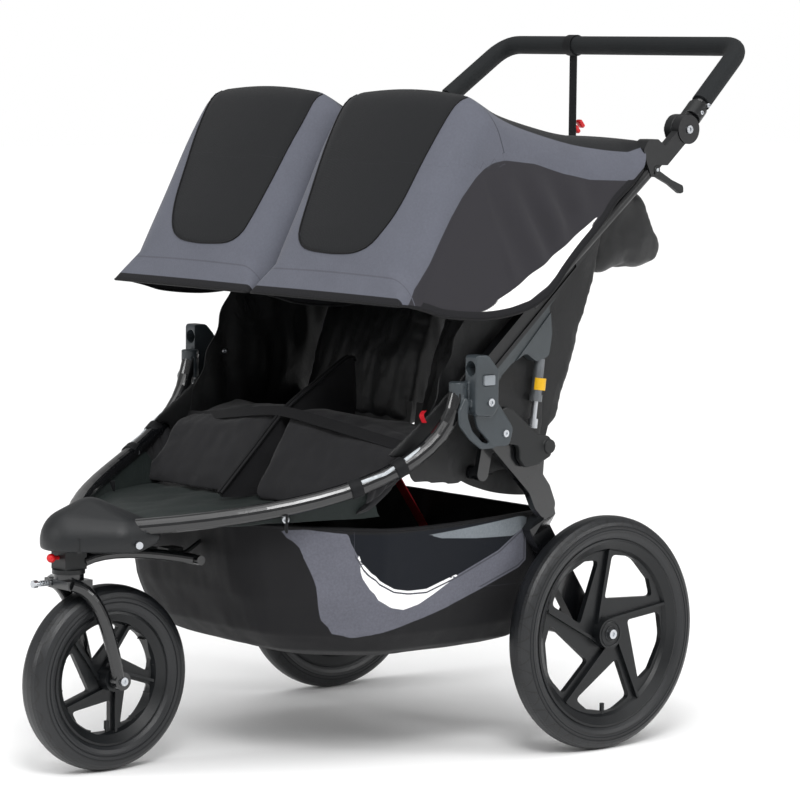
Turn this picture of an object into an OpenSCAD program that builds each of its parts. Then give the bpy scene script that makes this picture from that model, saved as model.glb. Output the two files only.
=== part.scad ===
/* [Wheels] */
// Outside diameter of the rear tyres
rear_tyre_d = 400; // [380:5:420]
// Section width of the rear tyres
rear_tyre_w = 47; // [40:1:50]
// Outside diameter of the front tyre
front_tyre_d = 308; // [290:2:320]
// Section width of the front tyre
front_tyre_w = 57; // [50:1:60]
// Distance between the centre planes of the rear wheels
track = 728; // [700:4:880]
// Distance from the front axle back to the rear axle
wheelbase = 774; // [740:2:900]
// Distance the front wheel trails behind its swivel axis
trail = 72; // [60:2:80]
// Number of spokes in each wheel
spokes = 5; // [3:1:7]

/* [Frame] */
// Diameter of the main frame tubes
tube_d = 28; // [25:1:30]
// Diameter of the rear axle tube
axle_tube_d = 32; // [28:1:34]
// Diameter of each wheel spindle
spindle_d = 15.9; // [12:0.1:16]
// Radial play of a spindle or pivot pin in its bore
play = 0.05; // [0.02:0.01:0.1]
// Diameter of the pivot pins at the hubs
pin_d = 12; // [10:1:14]
// Height of the fold pivots above the ground
fold_z = 612; // [606:1:618]
// Height of the rear arm pivots above the ground
arm_pivot_z = 558; // [554:1:562]
// Radius of the accessory sockets in the hubs
socket_r = 11.5; // [9:0.5:11.5]
// Depth of the accessory sockets
socket_depth = 40; // [30:1:44]

/* [Handlebar] */
// Diameter of the foam grip
grip_d = 34; // [30:1:38]
// Diameter of the tube inside the grip
bar_d = 26; // [22:1:28]
// Length from the height pivot to the middle of the crossbar
handle_reach = 229; // [200:1:260]
// Distance between the two legs at the height pivots
handle_w = 690; // [660:2:700]

/* [Soft goods] */
// Width of each seat
seat_w = 306; // [290:2:310]
// Thickness of the seat cushions
seat_t = 40; // [30:1:46]
// Width of each canopy
canopy_w = 366; // [340:2:368]
// Thickness of the canopy shell
canopy_wall = 6; // [4:0.5:8]
// Width of the basket across its rim
basket_w = 620; // [560:4:624]
// Thickness of the basket walls
basket_wall = 6; // [4:0.5:8]
// Width of the red folding strap
strap_w = 25; // [20:1:30]

/* [Hidden] */

$fn = 48;
black = [0.07, 0.07, 0.08];
charcoal = [0.15, 0.15, 0.16];
casting = [0.27, 0.29, 0.30];
steel = [0.80, 0.81, 0.82];
fabric_grey = [0.42, 0.43, 0.47];
fabric_black = [0.10, 0.10, 0.11];
red = [0.75, 0.06, 0.08];
gap = 0.5;                       // clearance between parts that move past each other

// Driving positions. The rear axle is at y = 0 here; place() moves everything so that
// the middle of the whole object's box is the origin.
rear_r = rear_tyre_d / 2;
front_r = front_tyre_d / 2;
half_track = track / 2;
front_axle_y = -wheelbase;
swivel_y = front_axle_y - trail;
hub_x = half_track + 18;         // middle of the accessory socket
fold_y = -287;
arm_pivot_y = -247;
knuckle_y = 189;
knuckle_z = 1052;
knuckle_x = handle_w / 2;
handle_angle = 38.5;             // slope of the handle's legs above the horizontal
crossbar_y = knuckle_y + handle_reach * cos(handle_angle);
crossbar_z = knuckle_z + handle_reach * sin(handle_angle);
front_end = front_axle_y - front_r;
strap_loop_r = grip_d / 2 + 2.5;
rear_end = crossbar_y + strap_loop_r;
y_shift = -(front_end + rear_end) / 2;

module place() translate([0, y_shift, 0]) children();
module mirrored() mirror([1, 0, 0]) children();
module both() { children(); mirrored() children(); }

// ---- helpers -------------------------------------------------------------------------
function unit(v) = v / norm(v);
function tangent(p, i) = unit(p[min(i + 1, len(p) - 1)] - p[max(i - 1, 0)]);
function ring(c, t, side, r, n) =
    let (u = unit(cross(t, side)), v = cross(u, t))
    [for (k = [0:n - 1]) c + r * (cos(360 * k / n) * u + sin(360 * k / n) * v)];
function bezier(a, b, c, d, n) =
    [for (i = [0:n]) let (t = i / n, s = 1 - t)
        s * s * s * a + 3 * s * s * t * b + 3 * s * t * t * c + t * t * t * d];
function bend(a, b, c, r, n) =
    let (u = unit(a - b), v = unit(c - b), half = acos(u * v) / 2, d = r / tan(half))
    [for (k = [0:n]) let (t = k / n, s = 1 - t)
        s * s * (b + u * d) + 2 * s * t * b + t * t * (b + v * d)];
function rounded(p, n = 5) =
    [for (i = [0:len(p) - 1])
        let (q = p[i], a = p[(i + len(p) - 1) % len(p)], c = p[(i + 1) % len(p)])
        each q[2] == 0 ? [[q[0], q[1]]] : bend([a[0], a[1]], [q[0], q[1]], [c[0], c[1]], q[2], n)];

// a round tube along a list of points
module sweep(p, d, side, n = 20) {
    m = len(p);
    points = [for (i = [0:m - 1]) each ring(p[i], tangent(p, i), side, d / 2, n)];
    walls = [for (i = [0:m - 2], k = [0:n - 1]) let (a = i * n + k, b = i * n + (k + 1) % n)
        each [[a, b, b + n], [a, b + n, a + n]]];
    polyhedron(points, concat([[for (k = [n - 1:-1:0]) k]], walls,
        [[for (k = [0:n - 1]) (m - 1) * n + k]]), convexity = 6);
}
// a flat outline drawn in Y and Z, thickened along X from x0 to x1
module plate(x0, x1, p) translate([x0, 0, 0]) rotate([90, 0, 90]) linear_extrude(x1 - x0) polygon(p);
module xrod(y, z, x0, x1, d) translate([x0, y, z]) rotate([0, 90, 0]) cylinder(d = d, h = x1 - x0);
module yrod(x, z, y0, y1, d) translate([x, y0, z]) rotate([-90, 0, 0]) cylinder(d = d, h = y1 - y0);
module zrod(x, y, z0, z1, d) translate([x, y, z0]) cylinder(d = d, h = z1 - z0);
module rod(a, b, d) {
    v = b - a;
    translate(a) rotate([0, acos(v[2] / norm(v)), atan2(v[1], v[0])]) cylinder(d = d, h = norm(v));
}

// ---- lower frame ---------------------------------------------------------------------
tube_x = half_track + 2;
tube_top = [tube_x, -328, 640];
tube_start = [tube_x - 1, -340, 600];
tube_end = [52, front_axle_y - 26, 406];
tube_path = concat([tube_top], bezier(tube_start, [half_track - 21, -378, 478],
    [half_track - 48, front_axle_y + 151, 441], tube_end, 16));

module frame_tube() color(black) place() sweep(tube_path, tube_d, [0, 0, 1]);
module frame_tube_left() frame_tube();
module frame_tube_right() mirrored() frame_tube();

hub_in = tube_x + tube_d / 2 + gap;            // inner face of the hub's outer plate
hub_out = hub_in + 8;
block_in = tube_x + 3;
block_out = hub_x + socket_r + 3;
block_front = -319;
socket_z = 668;
pivot_in = half_track - 38;
frame_layer = [half_track - 36, half_track - 17];   // layer that the upper frame turns in
arm_layer = [half_track - 12, half_track + 2];
rocker_layer = [half_track + 3, half_track + 15];

module hub() color(casting) place() {
    difference() {
        union() {
            plate(block_in, block_out, rounded([[block_front, 592, 8], [block_front, 690, 6],
                [-292, 690, 16], [-269, 664, 6], [-269, 604, 10], [-281, 588, 8]]));
            plate(hub_in, hub_out, rounded([[-318, 610, 4], [-306, 570, 20], [-272, 538, 14],
                [-236, 536, 12], [-228, 566, 14], [-262, 610, 10]]));
        }
        sweep(tube_path, tube_d, [0, 0, 1]);
        yrod(hub_x, socket_z, block_front - 1, block_front + socket_depth, 2 * socket_r);
        button_pocket();
    }
    // collar round the top of the frame tube
    difference() {
        zrod(tube_x, -331, 596, 646, tube_d + 3);
        translate([hub_in - 0.01, -400, 500]) cube([100, 200, 300]);
        sweep(tube_path, tube_d, [0, 0, 1]);
    }
    xrod(fold_y, fold_z, pivot_in, block_in + 2, pin_d);
    xrod(arm_pivot_y, arm_pivot_z, arm_layer[0] - 11, hub_in + 2, pin_d);
    // crescent guard in front of the arm pivot
    plate(hub_in, hub_out - 2, rounded([[-332, 622, 3], [-346, 600, 10], [-344, 576, 14],
        [-322, 552, 16], [-296, 534, 10], [-266, 534, 4], [-268, 540, 2], [-294, 546, 10],
        [-316, 566, 14], [-326, 590, 10], [-322, 616, 3]]));
}
module hub_left() hub();
module hub_right() mirrored() hub();
module button_pocket() translate([block_out - 5, -303, 640]) cube([6, 24, 17]);
module accessory_button() color([0.55, 0.57, 0.58]) place()
    plate(block_out - 3 + 0.2, block_out + 2.2, rounded([[-302.6, 640.4, 3], [-302.6, 656.6, 3],
        [-279.4, 656.6, 3], [-279.4, 640.4, 3]]));
module accessory_button_left() accessory_button();
module accessory_button_right() mirrored() accessory_button();
module bolt_head(y, z, x, d, h = 3) difference() {
    xrod(y, z, x, x + h, d);
    translate([x + h - 2, y, z]) rotate([0, 90, 0]) cylinder(d = d * 0.5, h = 3, $fn = 6);
}
module frame_bolts() color(steel) place() both() {
    bolt_head(fold_y, fold_z, block_out, 13);
    bolt_head(arm_pivot_y, arm_pivot_z, hub_out, 12);
    translate([111, front_axle_y - 12, 386]) rotate([0, 90, -22]) cylinder(d = 12, h = 6);
}
under_bar = [-262, 488];
module under_seat_bar() color(black) place() {
    xrod(under_bar[0], under_bar[1], -arm_layer[0] + 1, arm_layer[0] - 1, 22);
    both() difference() {
        hull() {
            xrod(under_bar[0], under_bar[1], arm_layer[0] - 11, arm_layer[0] - 1, 24);
            xrod(arm_pivot_y, arm_pivot_z, arm_layer[0] - 11, arm_layer[0] - 1, 24);
        }
        xrod(arm_pivot_y, arm_pivot_z, 0, 600, pin_d);
    }
}

// ---- nose and steering head ----------------------------------------------------------
head_z = [340, 372];
module nose_cover() color(charcoal) place() translate([0, front_axle_y, 0]) difference() {
    hull() {
        translate([0, -68, 385]) scale([1, 0.9, 1]) sphere(d = 108, $fn = 32);
        for (s = [-1, 1]) {
            translate([s * 70, -18, 392]) sphere(d = 76, $fn = 24);
            translate([s * 94, 24, 398]) sphere(d = 42, $fn = 24);
        }
        translate([0, -30, 412]) sphere(d = 84, $fn = 24);
    }
    translate([-200, -200, 300]) cube([400, 400, 72]);
    hull() for (s = [-1, 1]) {
        translate([s * 40, -48, 372]) cylinder(d = 84, h = 38, $fn = 24);
        translate([s * 88, 44, 372]) cylinder(d = 56, h = 40, $fn = 24);
    }
    translate([0, -front_axle_y, 0]) both() sweep(tube_path, tube_d, [0, 0, 1]);
}
module head_block() color(black) place() difference() {
    union() {
        translate([-20, swivel_y - 20, head_z[0]]) cube([40, 42, head_z[1] - head_z[0]]);
        zrod(0, swivel_y, head_z[0] - 7, head_z[0], 54);
        translate([-54, swivel_y - 16, head_z[1]]) cube([108, 60, 24]);
    }
    both() sweep(tube_path, tube_d, [0, 0, 1]);
    zrod(0, swivel_y, head_z[0] - 8, head_z[1] + 20, pin_d + 4 + 2 * play);
    yrod(0, 360, swivel_y - 21, swivel_y - 13, 7 + 2 * play);
}
brace_bar_y = front_axle_y + 114;
module front_brace() color(black) place() {
    both() sweep(bezier([14, swivel_y + 21, 352], [18, swivel_y + 62, 368],
        [58, front_axle_y + 40, 366], [92, brace_bar_y, 350], 8), 18, [0, 0, 1], 16);
    xrod(brace_bar_y, 350, -110, 110, 16);
}
module brace_clamp() color(steel) place() {
    difference() {
        translate([6, brace_bar_y - 12, 340]) cube([30, 30, 22]);
        xrod(brace_bar_y, 350, 0, 40, 16);
    }
    translate([40, 0, 0]) sweep([[0, brace_bar_y + 8, 352], [0, brace_bar_y + 24, 356],
        [0, brace_bar_y + 42, 366], [0, brace_bar_y + 54, 372]], 7, [1, 0, 0], 10);
    xrod(brace_bar_y + 8, 352, 36, 43.5, 6);
}
module swivel_lock_knob() color(red) place() {
    yrod(0, 360, swivel_y - 34, swivel_y - 13.3, 7);
    translate([0, swivel_y - 34, 360]) sphere(d = 15);
}

// ---- soft goods on the lower frame ---------------------------------------------------
seat_mid = 8 + seat_w / 2;
module seat() color(fabric_black) place() plate(8, 8 + seat_w, rounded([
    [-402, 572, 26], [-345, 570, 40], [-150, 514, 30], [-128, 512, 8], [-132, 512 - seat_t, 12],
    [-330, 564 - seat_t, 40], [-388, 562 - seat_t, 20], [-474, 424, 4], [-484, 424, 4]]));
module seat_left() seat();
module seat_right() mirrored() seat();
module seat_divider() color(fabric_black) place() difference() {
    plate(-4, 4, rounded([[-484, 430, 4], [-396, 588, 20], [-330, 600, 30], [-128, 700, 20],
        [-112, 560, 10], [-132, 474, 10], [-330, 490, 30], [-476, 428, 4]]));
    xrod(under_bar[0], under_bar[1], -5, 5, 23);
}
footwell_front = front_axle_y + 50;
module footwell() color([0.16, 0.19, 0.18]) place() difference() {
    translate([0, 0, 412]) linear_extrude(12) polygon(concat(
        [for (s = [1, -1]) [s * 84, footwell_front]],
        [[-240, -560], [-288, -484], [288, -484], [240, -560]]));
    both() sweep(tube_path, tube_d + 2, [0, 0, 1], 12);
}
module side_panel() color(fabric_black) place() difference() {
    plate(half_track - 44, half_track - 39, rounded([[-450, 526, 4], [-352, 596, 10],
        [-260, 672, 10], [-96, 700, 20], [-110, 500, 20], [-300, 470, 30], [-390, 480, 6],
        [-412, 520, 4]]));
    xrod(under_bar[0], under_bar[1], 0, 600, 23);
}
module side_panel_left() side_panel();
module side_panel_right() mirrored() side_panel();

basket_rim = 412;
module basket_form(inset) {
    w = basket_w / 2 - inset;
    intersection() {
        translate([0, 0, 100]) linear_extrude(400) polygon(rounded([
            [-w, -84 - inset, 20], [w, -84 - inset, 20], [w, -400, 60], [w - 90, -560, 60],
            [w - 150, -612 + inset, 40], [150 - w, -612 + inset, 40], [90 - w, -560, 60],
            [-w, -400, 60]]));
        plate(-400, 400, rounded([[-80 - inset, basket_rim + 2 * inset, 0],
            [-610 + inset, basket_rim + 2 * inset, 0], [-596 + inset, 300, 60],
            [-560 + inset, 214 + inset, 40], [-470, 172 + inset, 40], [-150, 186 + inset, 30],
            [-112 - inset, 220 + inset, 20]]));
        rotate([90, 0, 0]) translate([0, 0, -100]) linear_extrude(900) polygon(rounded([
            [-w, 600, 0], [w, 600, 0], [w, 300, 80], [w - 22, 168 + inset, 40],
            [22 - w, 168 + inset, 40], [-w, 300, 80]]));
    }
}
module basket() color(fabric_black) place() difference() {
    basket_form(0);
    basket_form(basket_wall);
    translate([-strap_w / 2 - 3, -130, 290]) cube([strap_w + 6, 60, 110]);
}
module fold_strap() color(red) place() {
    a = [-182, 480];
    b = [-2, 226];
    n = unit([-(b[1] - a[1]), b[0] - a[0]]) * 1;
    plate(-strap_w / 2, strap_w / 2, [a + n, b + n, b - n, a - n]);
}
module harness() color(black) place() both() for (x = [seat_mid - 60, seat_mid + 60])
    plate(x - 12, x + 12, [[-160, 516], [-240, 538], [-300, 556], [-300, 559.5], [-240, 541.5],
        [-160, 519.5]]);

// ---- upper frame ---------------------------------------------------------------------
clevis = [116, 989];
lever_pivot = [116, 984];
canopy_pivot = [-24, 905];
module upper_frame() color(casting) place() difference() {
    union() {
        plate(frame_layer[0], frame_layer[1], rounded([[-306, 606, 16], [-300, 632, 16],
            [-262, 672, 8], [-20, 884, 4], [-6, 868, 4], [-92, 784, 8], [-112, 760, 12],
            [-108, 712, 12], [-114, 676, 12], [-142, 668, 10], [-166, 684, 14],
            [-196, 666, 20], [-232, 636, 12], [-262, 600, 12], [-280, 586, 16]]));
        rod([half_track - 25, -150, 762], [knuckle_x + 4, clevis[0], clevis[1]], tube_d - 6);
        plate(knuckle_x - 10, knuckle_x + 16, rounded([[104, 970, 8], [92, 996, 8], [84, 1018, 10],
            [96, 1036, 10], [118, 1036, 8], [148, 1016, 8], [122, 976, 8]]));
        plate(knuckle_x + 1, knuckle_x + 16, [[106, 1000], [126, 978], [198, 1041], [180, 1063]]);
        xrod(knuckle_y, knuckle_z, knuckle_x + 1, knuckle_x + 18, 50);
        xrod(knuckle_y, knuckle_z, knuckle_x - 16, knuckle_x + 2, 20);
        plate(shock_x, half_track - 12, rounded([[-46, 850, 4], [-8, 880, 4], [-12, 914, 8],
            [-36, 914, 8]]));
        xrod(canopy_pivot[0], canopy_pivot[1], shock_x, canopy_w + 3, 8);
    }
    xrod(fold_y, fold_z, 0, 600, pin_d + 2 * play);
    for (s = [0, 1]) plate(frame_layer[1] - 3, frame_layer[1] + 1, rounded([
        [-248 + 24 * s, 668 - 18 * s, 3], [-60 + 10 * s, 832 - 8 * s, 3],
        [-54 + 10 * s, 824 - 8 * s, 3], [-240 + 24 * s, 660 - 18 * s, 3]]));
    xrod(lever_pivot[0], lever_pivot[1], 0, 600, 6);
    translate([knuckle_x + 8, 0, 0]) {
        xrod(lever_pivot[0], lever_pivot[1], -5.5, 30, 15.4);
        plate(-5.5, 30, [[108, 978], [124, 956], [200, 925], [200, 991], [116, 991.6]]);
    }
}
module upper_frame_left() upper_frame();
module upper_frame_right() mirrored() upper_frame();
module rear_crossbar() color(black) place() {
    xrod(100, 1018, 10 - knuckle_x, knuckle_x - 10, 30);
}
module handle_pins() color(steel) place() both() {
    bolt_head(knuckle_y, knuckle_z, knuckle_x + 18, 14);
    xrod(lever_pivot[0], lever_pivot[1], knuckle_x - 8, knuckle_x + 18, 6);
}
module release_lever() color(black) place() translate([knuckle_x + 8, 0, 0]) difference() {
    union() {
        xrod(lever_pivot[0], lever_pivot[1], -5, 9, 14);
        plate(-5, 5, rounded([[110, 982, 3], [114, 974, 6], [150, 958, 10], [176, 942, 4],
            [184, 944, 4], [183, 956, 6], [156, 966, 10], [126, 982, 4]]));
    }
    xrod(lever_pivot[0], lever_pivot[1], -20, 20, 6 + 2 * play);
}
module release_lever_left() release_lever();
module release_lever_right() mirrored() release_lever();
module seat_back() color(fabric_black) place() plate(12, 6 + seat_w, rounded([
    [-124, 532, 16], [-100, 520, 12], [-60, 560, 20], [18, 770, 60], [62, 930, 20], [60, 1000, 14],
    [30, 1000, 14], [18, 930, 20], [-96, 640, 30]]));
module seat_back_left() seat_back();
module seat_back_right() mirrored() seat_back();
module rear_pocket() color(black) place() plate(14, seat_w - 8, rounded([
    [58, 940, 6], [66, 990, 2], [90, 990, 8], [150, 930, 20], [194, 850, 20], [190, 822, 14],
    [80, 814, 14], [30, 812, 8]]));
module rear_pocket_left() rear_pocket();
module rear_pocket_right() mirrored() rear_pocket();
canopy_side = [[-20, 892, 10], [-118, 812, 60], [-207, 768, 60], [-315, 746, 60], [-480, 772, 4],
    [-478, 786, 4], [-372, 1010, 60], [-300, 1116, 60], [-210, 1090, 60], [-60, 1046, 60],
    [44, 1034, 10], [44, 950, 10]];
module canopy_form(inset) {
    x0 = 4 + inset;
    x1 = 4 + canopy_w - inset;
    intersection() {
        plate(0, 420, rounded([for (p = canopy_side) [p[0] + (p[0] < -470 ? -3 * inset : 0) +
            (p[0] > 0 ? inset : 0), p[1] - (p[1] > 1000 ? inset : 0) - (p[1] < 900 ? 40 * sign(inset) : 0), p[2]]]));
        rotate([90, 0, 0]) translate([0, 0, -200]) linear_extrude(900) polygon(rounded([
            [x0, 600, 0], [x1, 600, 0], [x1, 900, 100], [x1 - 40, 1060, 80],
            [x1 - 80, 1118 - inset, 60], [x0 + 60, 1118 - inset, 60], [x0, 1040, 60]]));
    }
}
module canopy() color(fabric_grey) place() difference() {
    canopy_form(0);
    canopy_form(canopy_wall);
    xrod(canopy_pivot[0], canopy_pivot[1], 100, 600, 8 + 2 * play);
}
module canopy_left() canopy();
module canopy_right() mirrored() canopy();

// ---- shock absorbers -----------------------------------------------------------------
shock_x = (frame_layer[0] + frame_layer[1]) / 2;
shock_top = [shock_x, -127, 667];
shock_foot = [shock_x, -141, 556];
function shock_at(t) = shock_top + (shock_foot - shock_top) * t;
module shock_body() color(casting) place() {
    difference() {
        union() {
            rod(shock_at(-0.04), shock_at(0.58), 18);
            rod(shock_at(0.50), shock_at(0.60), 22);
        }
        rod(shock_at(0.30), shock_at(0.62), 10 + 2 * play);
    }
}
module shock_rod() color(steel) place() {
    rod(shock_at(0.44), shock_at(0.88), 10);
    rod(shock_at(0.86), shock_at(1.0), 16);
}
module shock_body_left() shock_body();
module shock_body_right() mirrored() shock_body();
module shock_rod_left() shock_rod();
module shock_rod_right() mirrored() shock_rod();

// ---- handlebar -----------------------------------------------------------------------
// a point d along the handle's legs from the height pivot
function leg(d, x) = [x, knuckle_y + d * cos(handle_angle), knuckle_z + d * sin(handle_angle)];
corner_x = knuckle_x - 36;
handle_side = [0, -sin(handle_angle), cos(handle_angle)];
function handle_path(start) =
    let (a = leg(start, knuckle_x - 36 * start / handle_reach), b = leg(handle_reach, corner_x),
        c = leg(handle_reach, 0))
    concat([a], bend(a, b, c, 46, 8), bend(-[c[0], -c[1], -c[2]], [-b[0], b[1], b[2]],
        [-a[0], a[1], a[2]], 46, 8), [[-a[0], a[1], a[2]]]);
module handle_tube() color(black) place() sweep(handle_path(36), bar_d, handle_side);
module foam_grip() color(black) place() difference() {
    sweep(handle_path(72), grip_d, handle_side, 24);
    sweep(handle_path(60), bar_d, handle_side);
}
module handle_knuckle() {
    difference() {
        union() {
            xrod(knuckle_y, knuckle_z, knuckle_x - 18, knuckle_x + 0.5, 52);
            rod(leg(20, knuckle_x - 2), leg(60, knuckle_x - 9), 36);
        }
        sweep(handle_path(35), bar_d, handle_side);
        xrod(knuckle_y, knuckle_z, knuckle_x - 30, knuckle_x + 4, 20 + 2 * play);
        xrod(knuckle_y, knuckle_z, knuckle_x + 0.5, knuckle_x + 40, 68);
        xrod(knuckle_y, knuckle_z, knuckle_x - 40, knuckle_x - 18, 40);
    }
}
module handle_knuckles() color(charcoal) place() both() handle_knuckle();
module wrist_strap() color(black) place() translate([-124, crossbar_y, crossbar_z]) {
    difference() {
        xrod(0, 0, -10, 10, 2 * strap_loop_r);
        xrod(0, 0, -11, 11, grip_d + 0.6);
    }
    translate([-9, -1.2, -grip_d / 2 - 152]) cube([18, 2.4, 150]);
    translate([-6, -3, -grip_d / 2 - 172]) cube([24, 6, 20]);
}

// ---- rear arms, axle and brake -------------------------------------------------------
module rocker() color(black) place() difference() {
    union() {
        plate(rocker_layer[0], rocker_layer[1], rounded([[-262, 566, 14], [-256, 592, 10],
            [-236, 601, 8], [-222, 596, 8], [-168, 552, 8], [-140, 546, 10], [-130, 530, 10],
            [-136, 512, 8], [-162, 500, 8], [-192, 496, 10], [-205, 512, 10], [-206, 534, 10],
            [-250, 542, 12]]));
        xrod(-142, 529, rocker_layer[0], rocker_layer[1] + 5, 24);
    }
    xrod(arm_pivot_y, arm_pivot_z, 0, 600, pin_d + 2 * play);
}
module rocker_left() rocker();
module rocker_right() mirrored() rocker();
arm_in = half_track - 48;
arm_out = half_track - 28;
module swing_arm() color(black) place() difference() {
    union() {
        plate(arm_layer[0], arm_layer[1], rounded([[-264, 560, 14], [-256, 576, 12],
            [-232, 572, 10], [-192, 532, 10], [-180, 500, 12], [-152, 494, 10], [-126, 462, 20],
            [-112, 430, 16], [-118, 408, 8], [-142, 408, 8], [-158, 424, 16], [-172, 452, 20],
            [-262, 538, 10]]));
        hull() {
            plate(arm_layer[0], arm_layer[1], [[-140, 424], [-116, 430], [-112, 412], [-138, 404]]);
            plate(arm_in, arm_out, [[-142, 384], [-106, 400], [-100, 386], [-134, 372]]);
        }
        plate(arm_in, arm_out, rounded([[-144, 384, 8], [-104, 400, 8], [20, 214, 16], [20, 180, 14],
            [-16, 178, 14], [-26, 200, 10]]));
        plate(half_track - 36, arm_layer[0] + 1, rounded([[-150, 546, 6], [-132, 546, 6],
            [-126, 522, 6], [-130, 470, 6], [-150, 470, 6], [-156, 522, 6]]));
    }
    xrod(arm_pivot_y, arm_pivot_z, 0, 600, pin_d + 2 * play);
    xrod(0, rear_r, 0, 600, spindle_d + 2 * play);
}
module swing_arm_left() swing_arm();
module swing_arm_right() mirrored() swing_arm();
module rear_axle_tube() color(black) place()
    xrod(0, rear_r, -arm_in, arm_in, axle_tube_d);
cap_x = half_track + 30;
module spindle() color(steel) place() {
    xrod(0, rear_r, arm_in, cap_x - 6, spindle_d);
    bolt_head(0, rear_r, cap_x - 6, 16, 6);
}
module spindle_left() spindle();
module spindle_right() mirrored() spindle();
pedal_pivot = [12, 30];
module brake_bracket() color(black) place() translate([arm_in - 34, 0, rear_r]) difference() {
    plate(0, 30, rounded([[-16, -20, 4], [-24, 30, 6], [-14, 46, 6], [6, 48, 6], [20, 20, 8],
        [20, -20, 6]]));
    xrod(0, 0, -1, 40, axle_tube_d);
    plate(8, 22, [[-1, -40], [60, -40], [60, 60], [-1, 60]]);
    xrod(pedal_pivot[0], pedal_pivot[1], -1, 40, 6);
}
module brake_pedal() color(charcoal) place() translate([arm_in - 34, 0, rear_r]) {
    plate(8.5, 21.5, rounded([[pedal_pivot[0] - 7, 25, 3], [pedal_pivot[0] - 2, 38, 5],
        [pedal_pivot[0] + 9, 36, 5], [52, 20, 8], [74, -6, 8], [70, -14, 4], [46, 6, 8], [26, 20, 4]]));
    xrod(pedal_pivot[0], pedal_pivot[1], 0.5, 29.5, 6 - 2 * play);
    translate([-10, 0, 0]) plate(0, 50, rounded([[62, 2, 3], [68, 6, 3], [84, -16, 3],
        [78, -20, 3]]));
}

// ---- wheels --------------------------------------------------------------------------
// tyre section: a rounded shape between the bead radius and the tread
function tyre_section(bead, r, w) = let (h = (r - bead) / 2, m = (r + bead) / 2)
    [for (a = [0:15:345]) [m + h * sign(cos(a)) * pow(abs(cos(a)), 0.9),
        w / 2 * sign(sin(a)) * pow(abs(sin(a)), 0.75)]];
module tyre(r, bead, w) rotate([0, 90, 0]) rotate_extrude($fn = 96) polygon(tyre_section(bead, r, w));
// one window between two spokes, drawn for a rim of radius 1
function window(r) = rounded([[0.012 * r, 0.37 * r, 0.04 * r], [0.115 * r, 0.845 * r, 0.06 * r],
    [0.42 * r, 0.80 * r, 0.3 * r], [0.675 * r, 0.53 * r, 0.06 * r], [0.735 * r, 0.33 * r, 0.05 * r]], 4);
module rim(bead, w, hub_r, hub_in_x, hub_out_x, bore, web, phase) {
    lip = bead + 5;
    difference() {
        union() {
            rotate([0, 90, 0]) rotate_extrude($fn = 96) polygon([
                [bead - 0.2, -w / 2 + 8], [lip, -w / 2], [lip - 4, -w / 2 - 1], [bead - 12, -w / 2 + 8],
                [bead - 16, -web / 2], [bead - 16, web / 2], [bead - 12, w / 2 - 8], [lip - 4, w / 2 + 1],
                [lip, w / 2], [bead - 0.2, w / 2 - 8]]);
            xrod(0, 0, -web / 2, web / 2, 2 * bead - 28);
            xrod(0, 0, hub_in_x, hub_out_x, 2 * hub_r);
            for (k = [0:spokes - 1]) rotate([phase + 360 / spokes * k, 0, 0])
                plate(-web / 2 - 7, web / 2 + 7, [[-hub_r * 0.9, 0], [-hub_r * 0.9 + 5, 0],
                    [bead * 0.04 + 3, bead - 14], [bead * 0.04 - 2, bead - 14]]);
        }
        for (k = [0:spokes - 1]) rotate([phase + 360 / spokes * k, 0, 0])
            plate(-w, w, window(bead));
        xrod(0, 0, -100, 100, bore);
    }
}
rear_bead = rear_r - 44;
front_bead = front_r - 48;
module rear_wheel_at() translate([half_track, 0, rear_r]) children();
module rear_tyre() color(black) place() rear_wheel_at() difference() {
    tyre(rear_r, rear_bead, rear_tyre_w);
    rotate([0, 90, 0]) rotate_extrude($fn = 96) rim_seat(rear_bead, rear_tyre_w - 9);
}
module rim_seat(bead, w) polygon([[bead - 8, -w / 2 + 8], [bead, -w / 2 + 7.8], [bead + 5.4, -w / 2 + 0.2],
    [bead + 5.4, -w / 2 - 4], [bead - 20, -w / 2 - 4], [bead - 20, w / 2 + 4], [bead + 5.4, w / 2 + 4],
    [bead + 5.4, w / 2 - 0.2], [bead, w / 2 - 7.8], [bead - 8, w / 2 - 8]]);
module rear_rim() color(charcoal) place() rear_wheel_at() {
    rim(rear_bead, rear_tyre_w - 9, 26, -22, 23.5, spindle_d + 2 * play, 10, 0);
    valve(rear_bead);
}
module rear_tyre_left() rear_tyre();
module rear_tyre_right() mirrored() rear_tyre();
module rear_rim_left() rear_rim();
module rear_rim_right() mirrored() rear_rim();
module valve(bead) translate([4, 0, 0]) {
    zrod(0, 0, -bead + 13, -bead + 34, 5);
    zrod(0, 0, -bead + 20, -bead + 34, 8);
}

// ---- front wheel and fork ------------------------------------------------------------
blade_x = front_tyre_w / 2 + 15;
module fork() color(black) place() difference() {
    union() {
        both() {
            sweep(bezier([blade_x - 14, swivel_y - 14, 318], [blade_x, swivel_y + 32, 306],
                [blade_x, front_axle_y - 22, 236], [blade_x, front_axle_y - 4, front_r + 6], 12), 22, [1, 0, 0]);
            xrod(front_axle_y, front_r, blade_x - 9, blade_x + 9, 30);
        }
        translate([-34, swivel_y - 24, 310]) cube([68, 48, 14]);
        zrod(0, swivel_y, 324, 332.5, 50);
        zrod(0, swivel_y, 330, head_z[1] + 16, pin_d + 4);
    }
    xrod(front_axle_y, front_r, -100, 100, 10 + 2 * play);
    yrod(-18, 317, swivel_y - 60, swivel_y, 6 + 2 * play);
}
module front_axle() color(steel) place() translate([0, front_axle_y, front_r]) {
    xrod(0, 0, -blade_x - 9, blade_x + 9, 10);
    both() bolt_head(0, 0, blade_x + 9, 14, 4);
}
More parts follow.
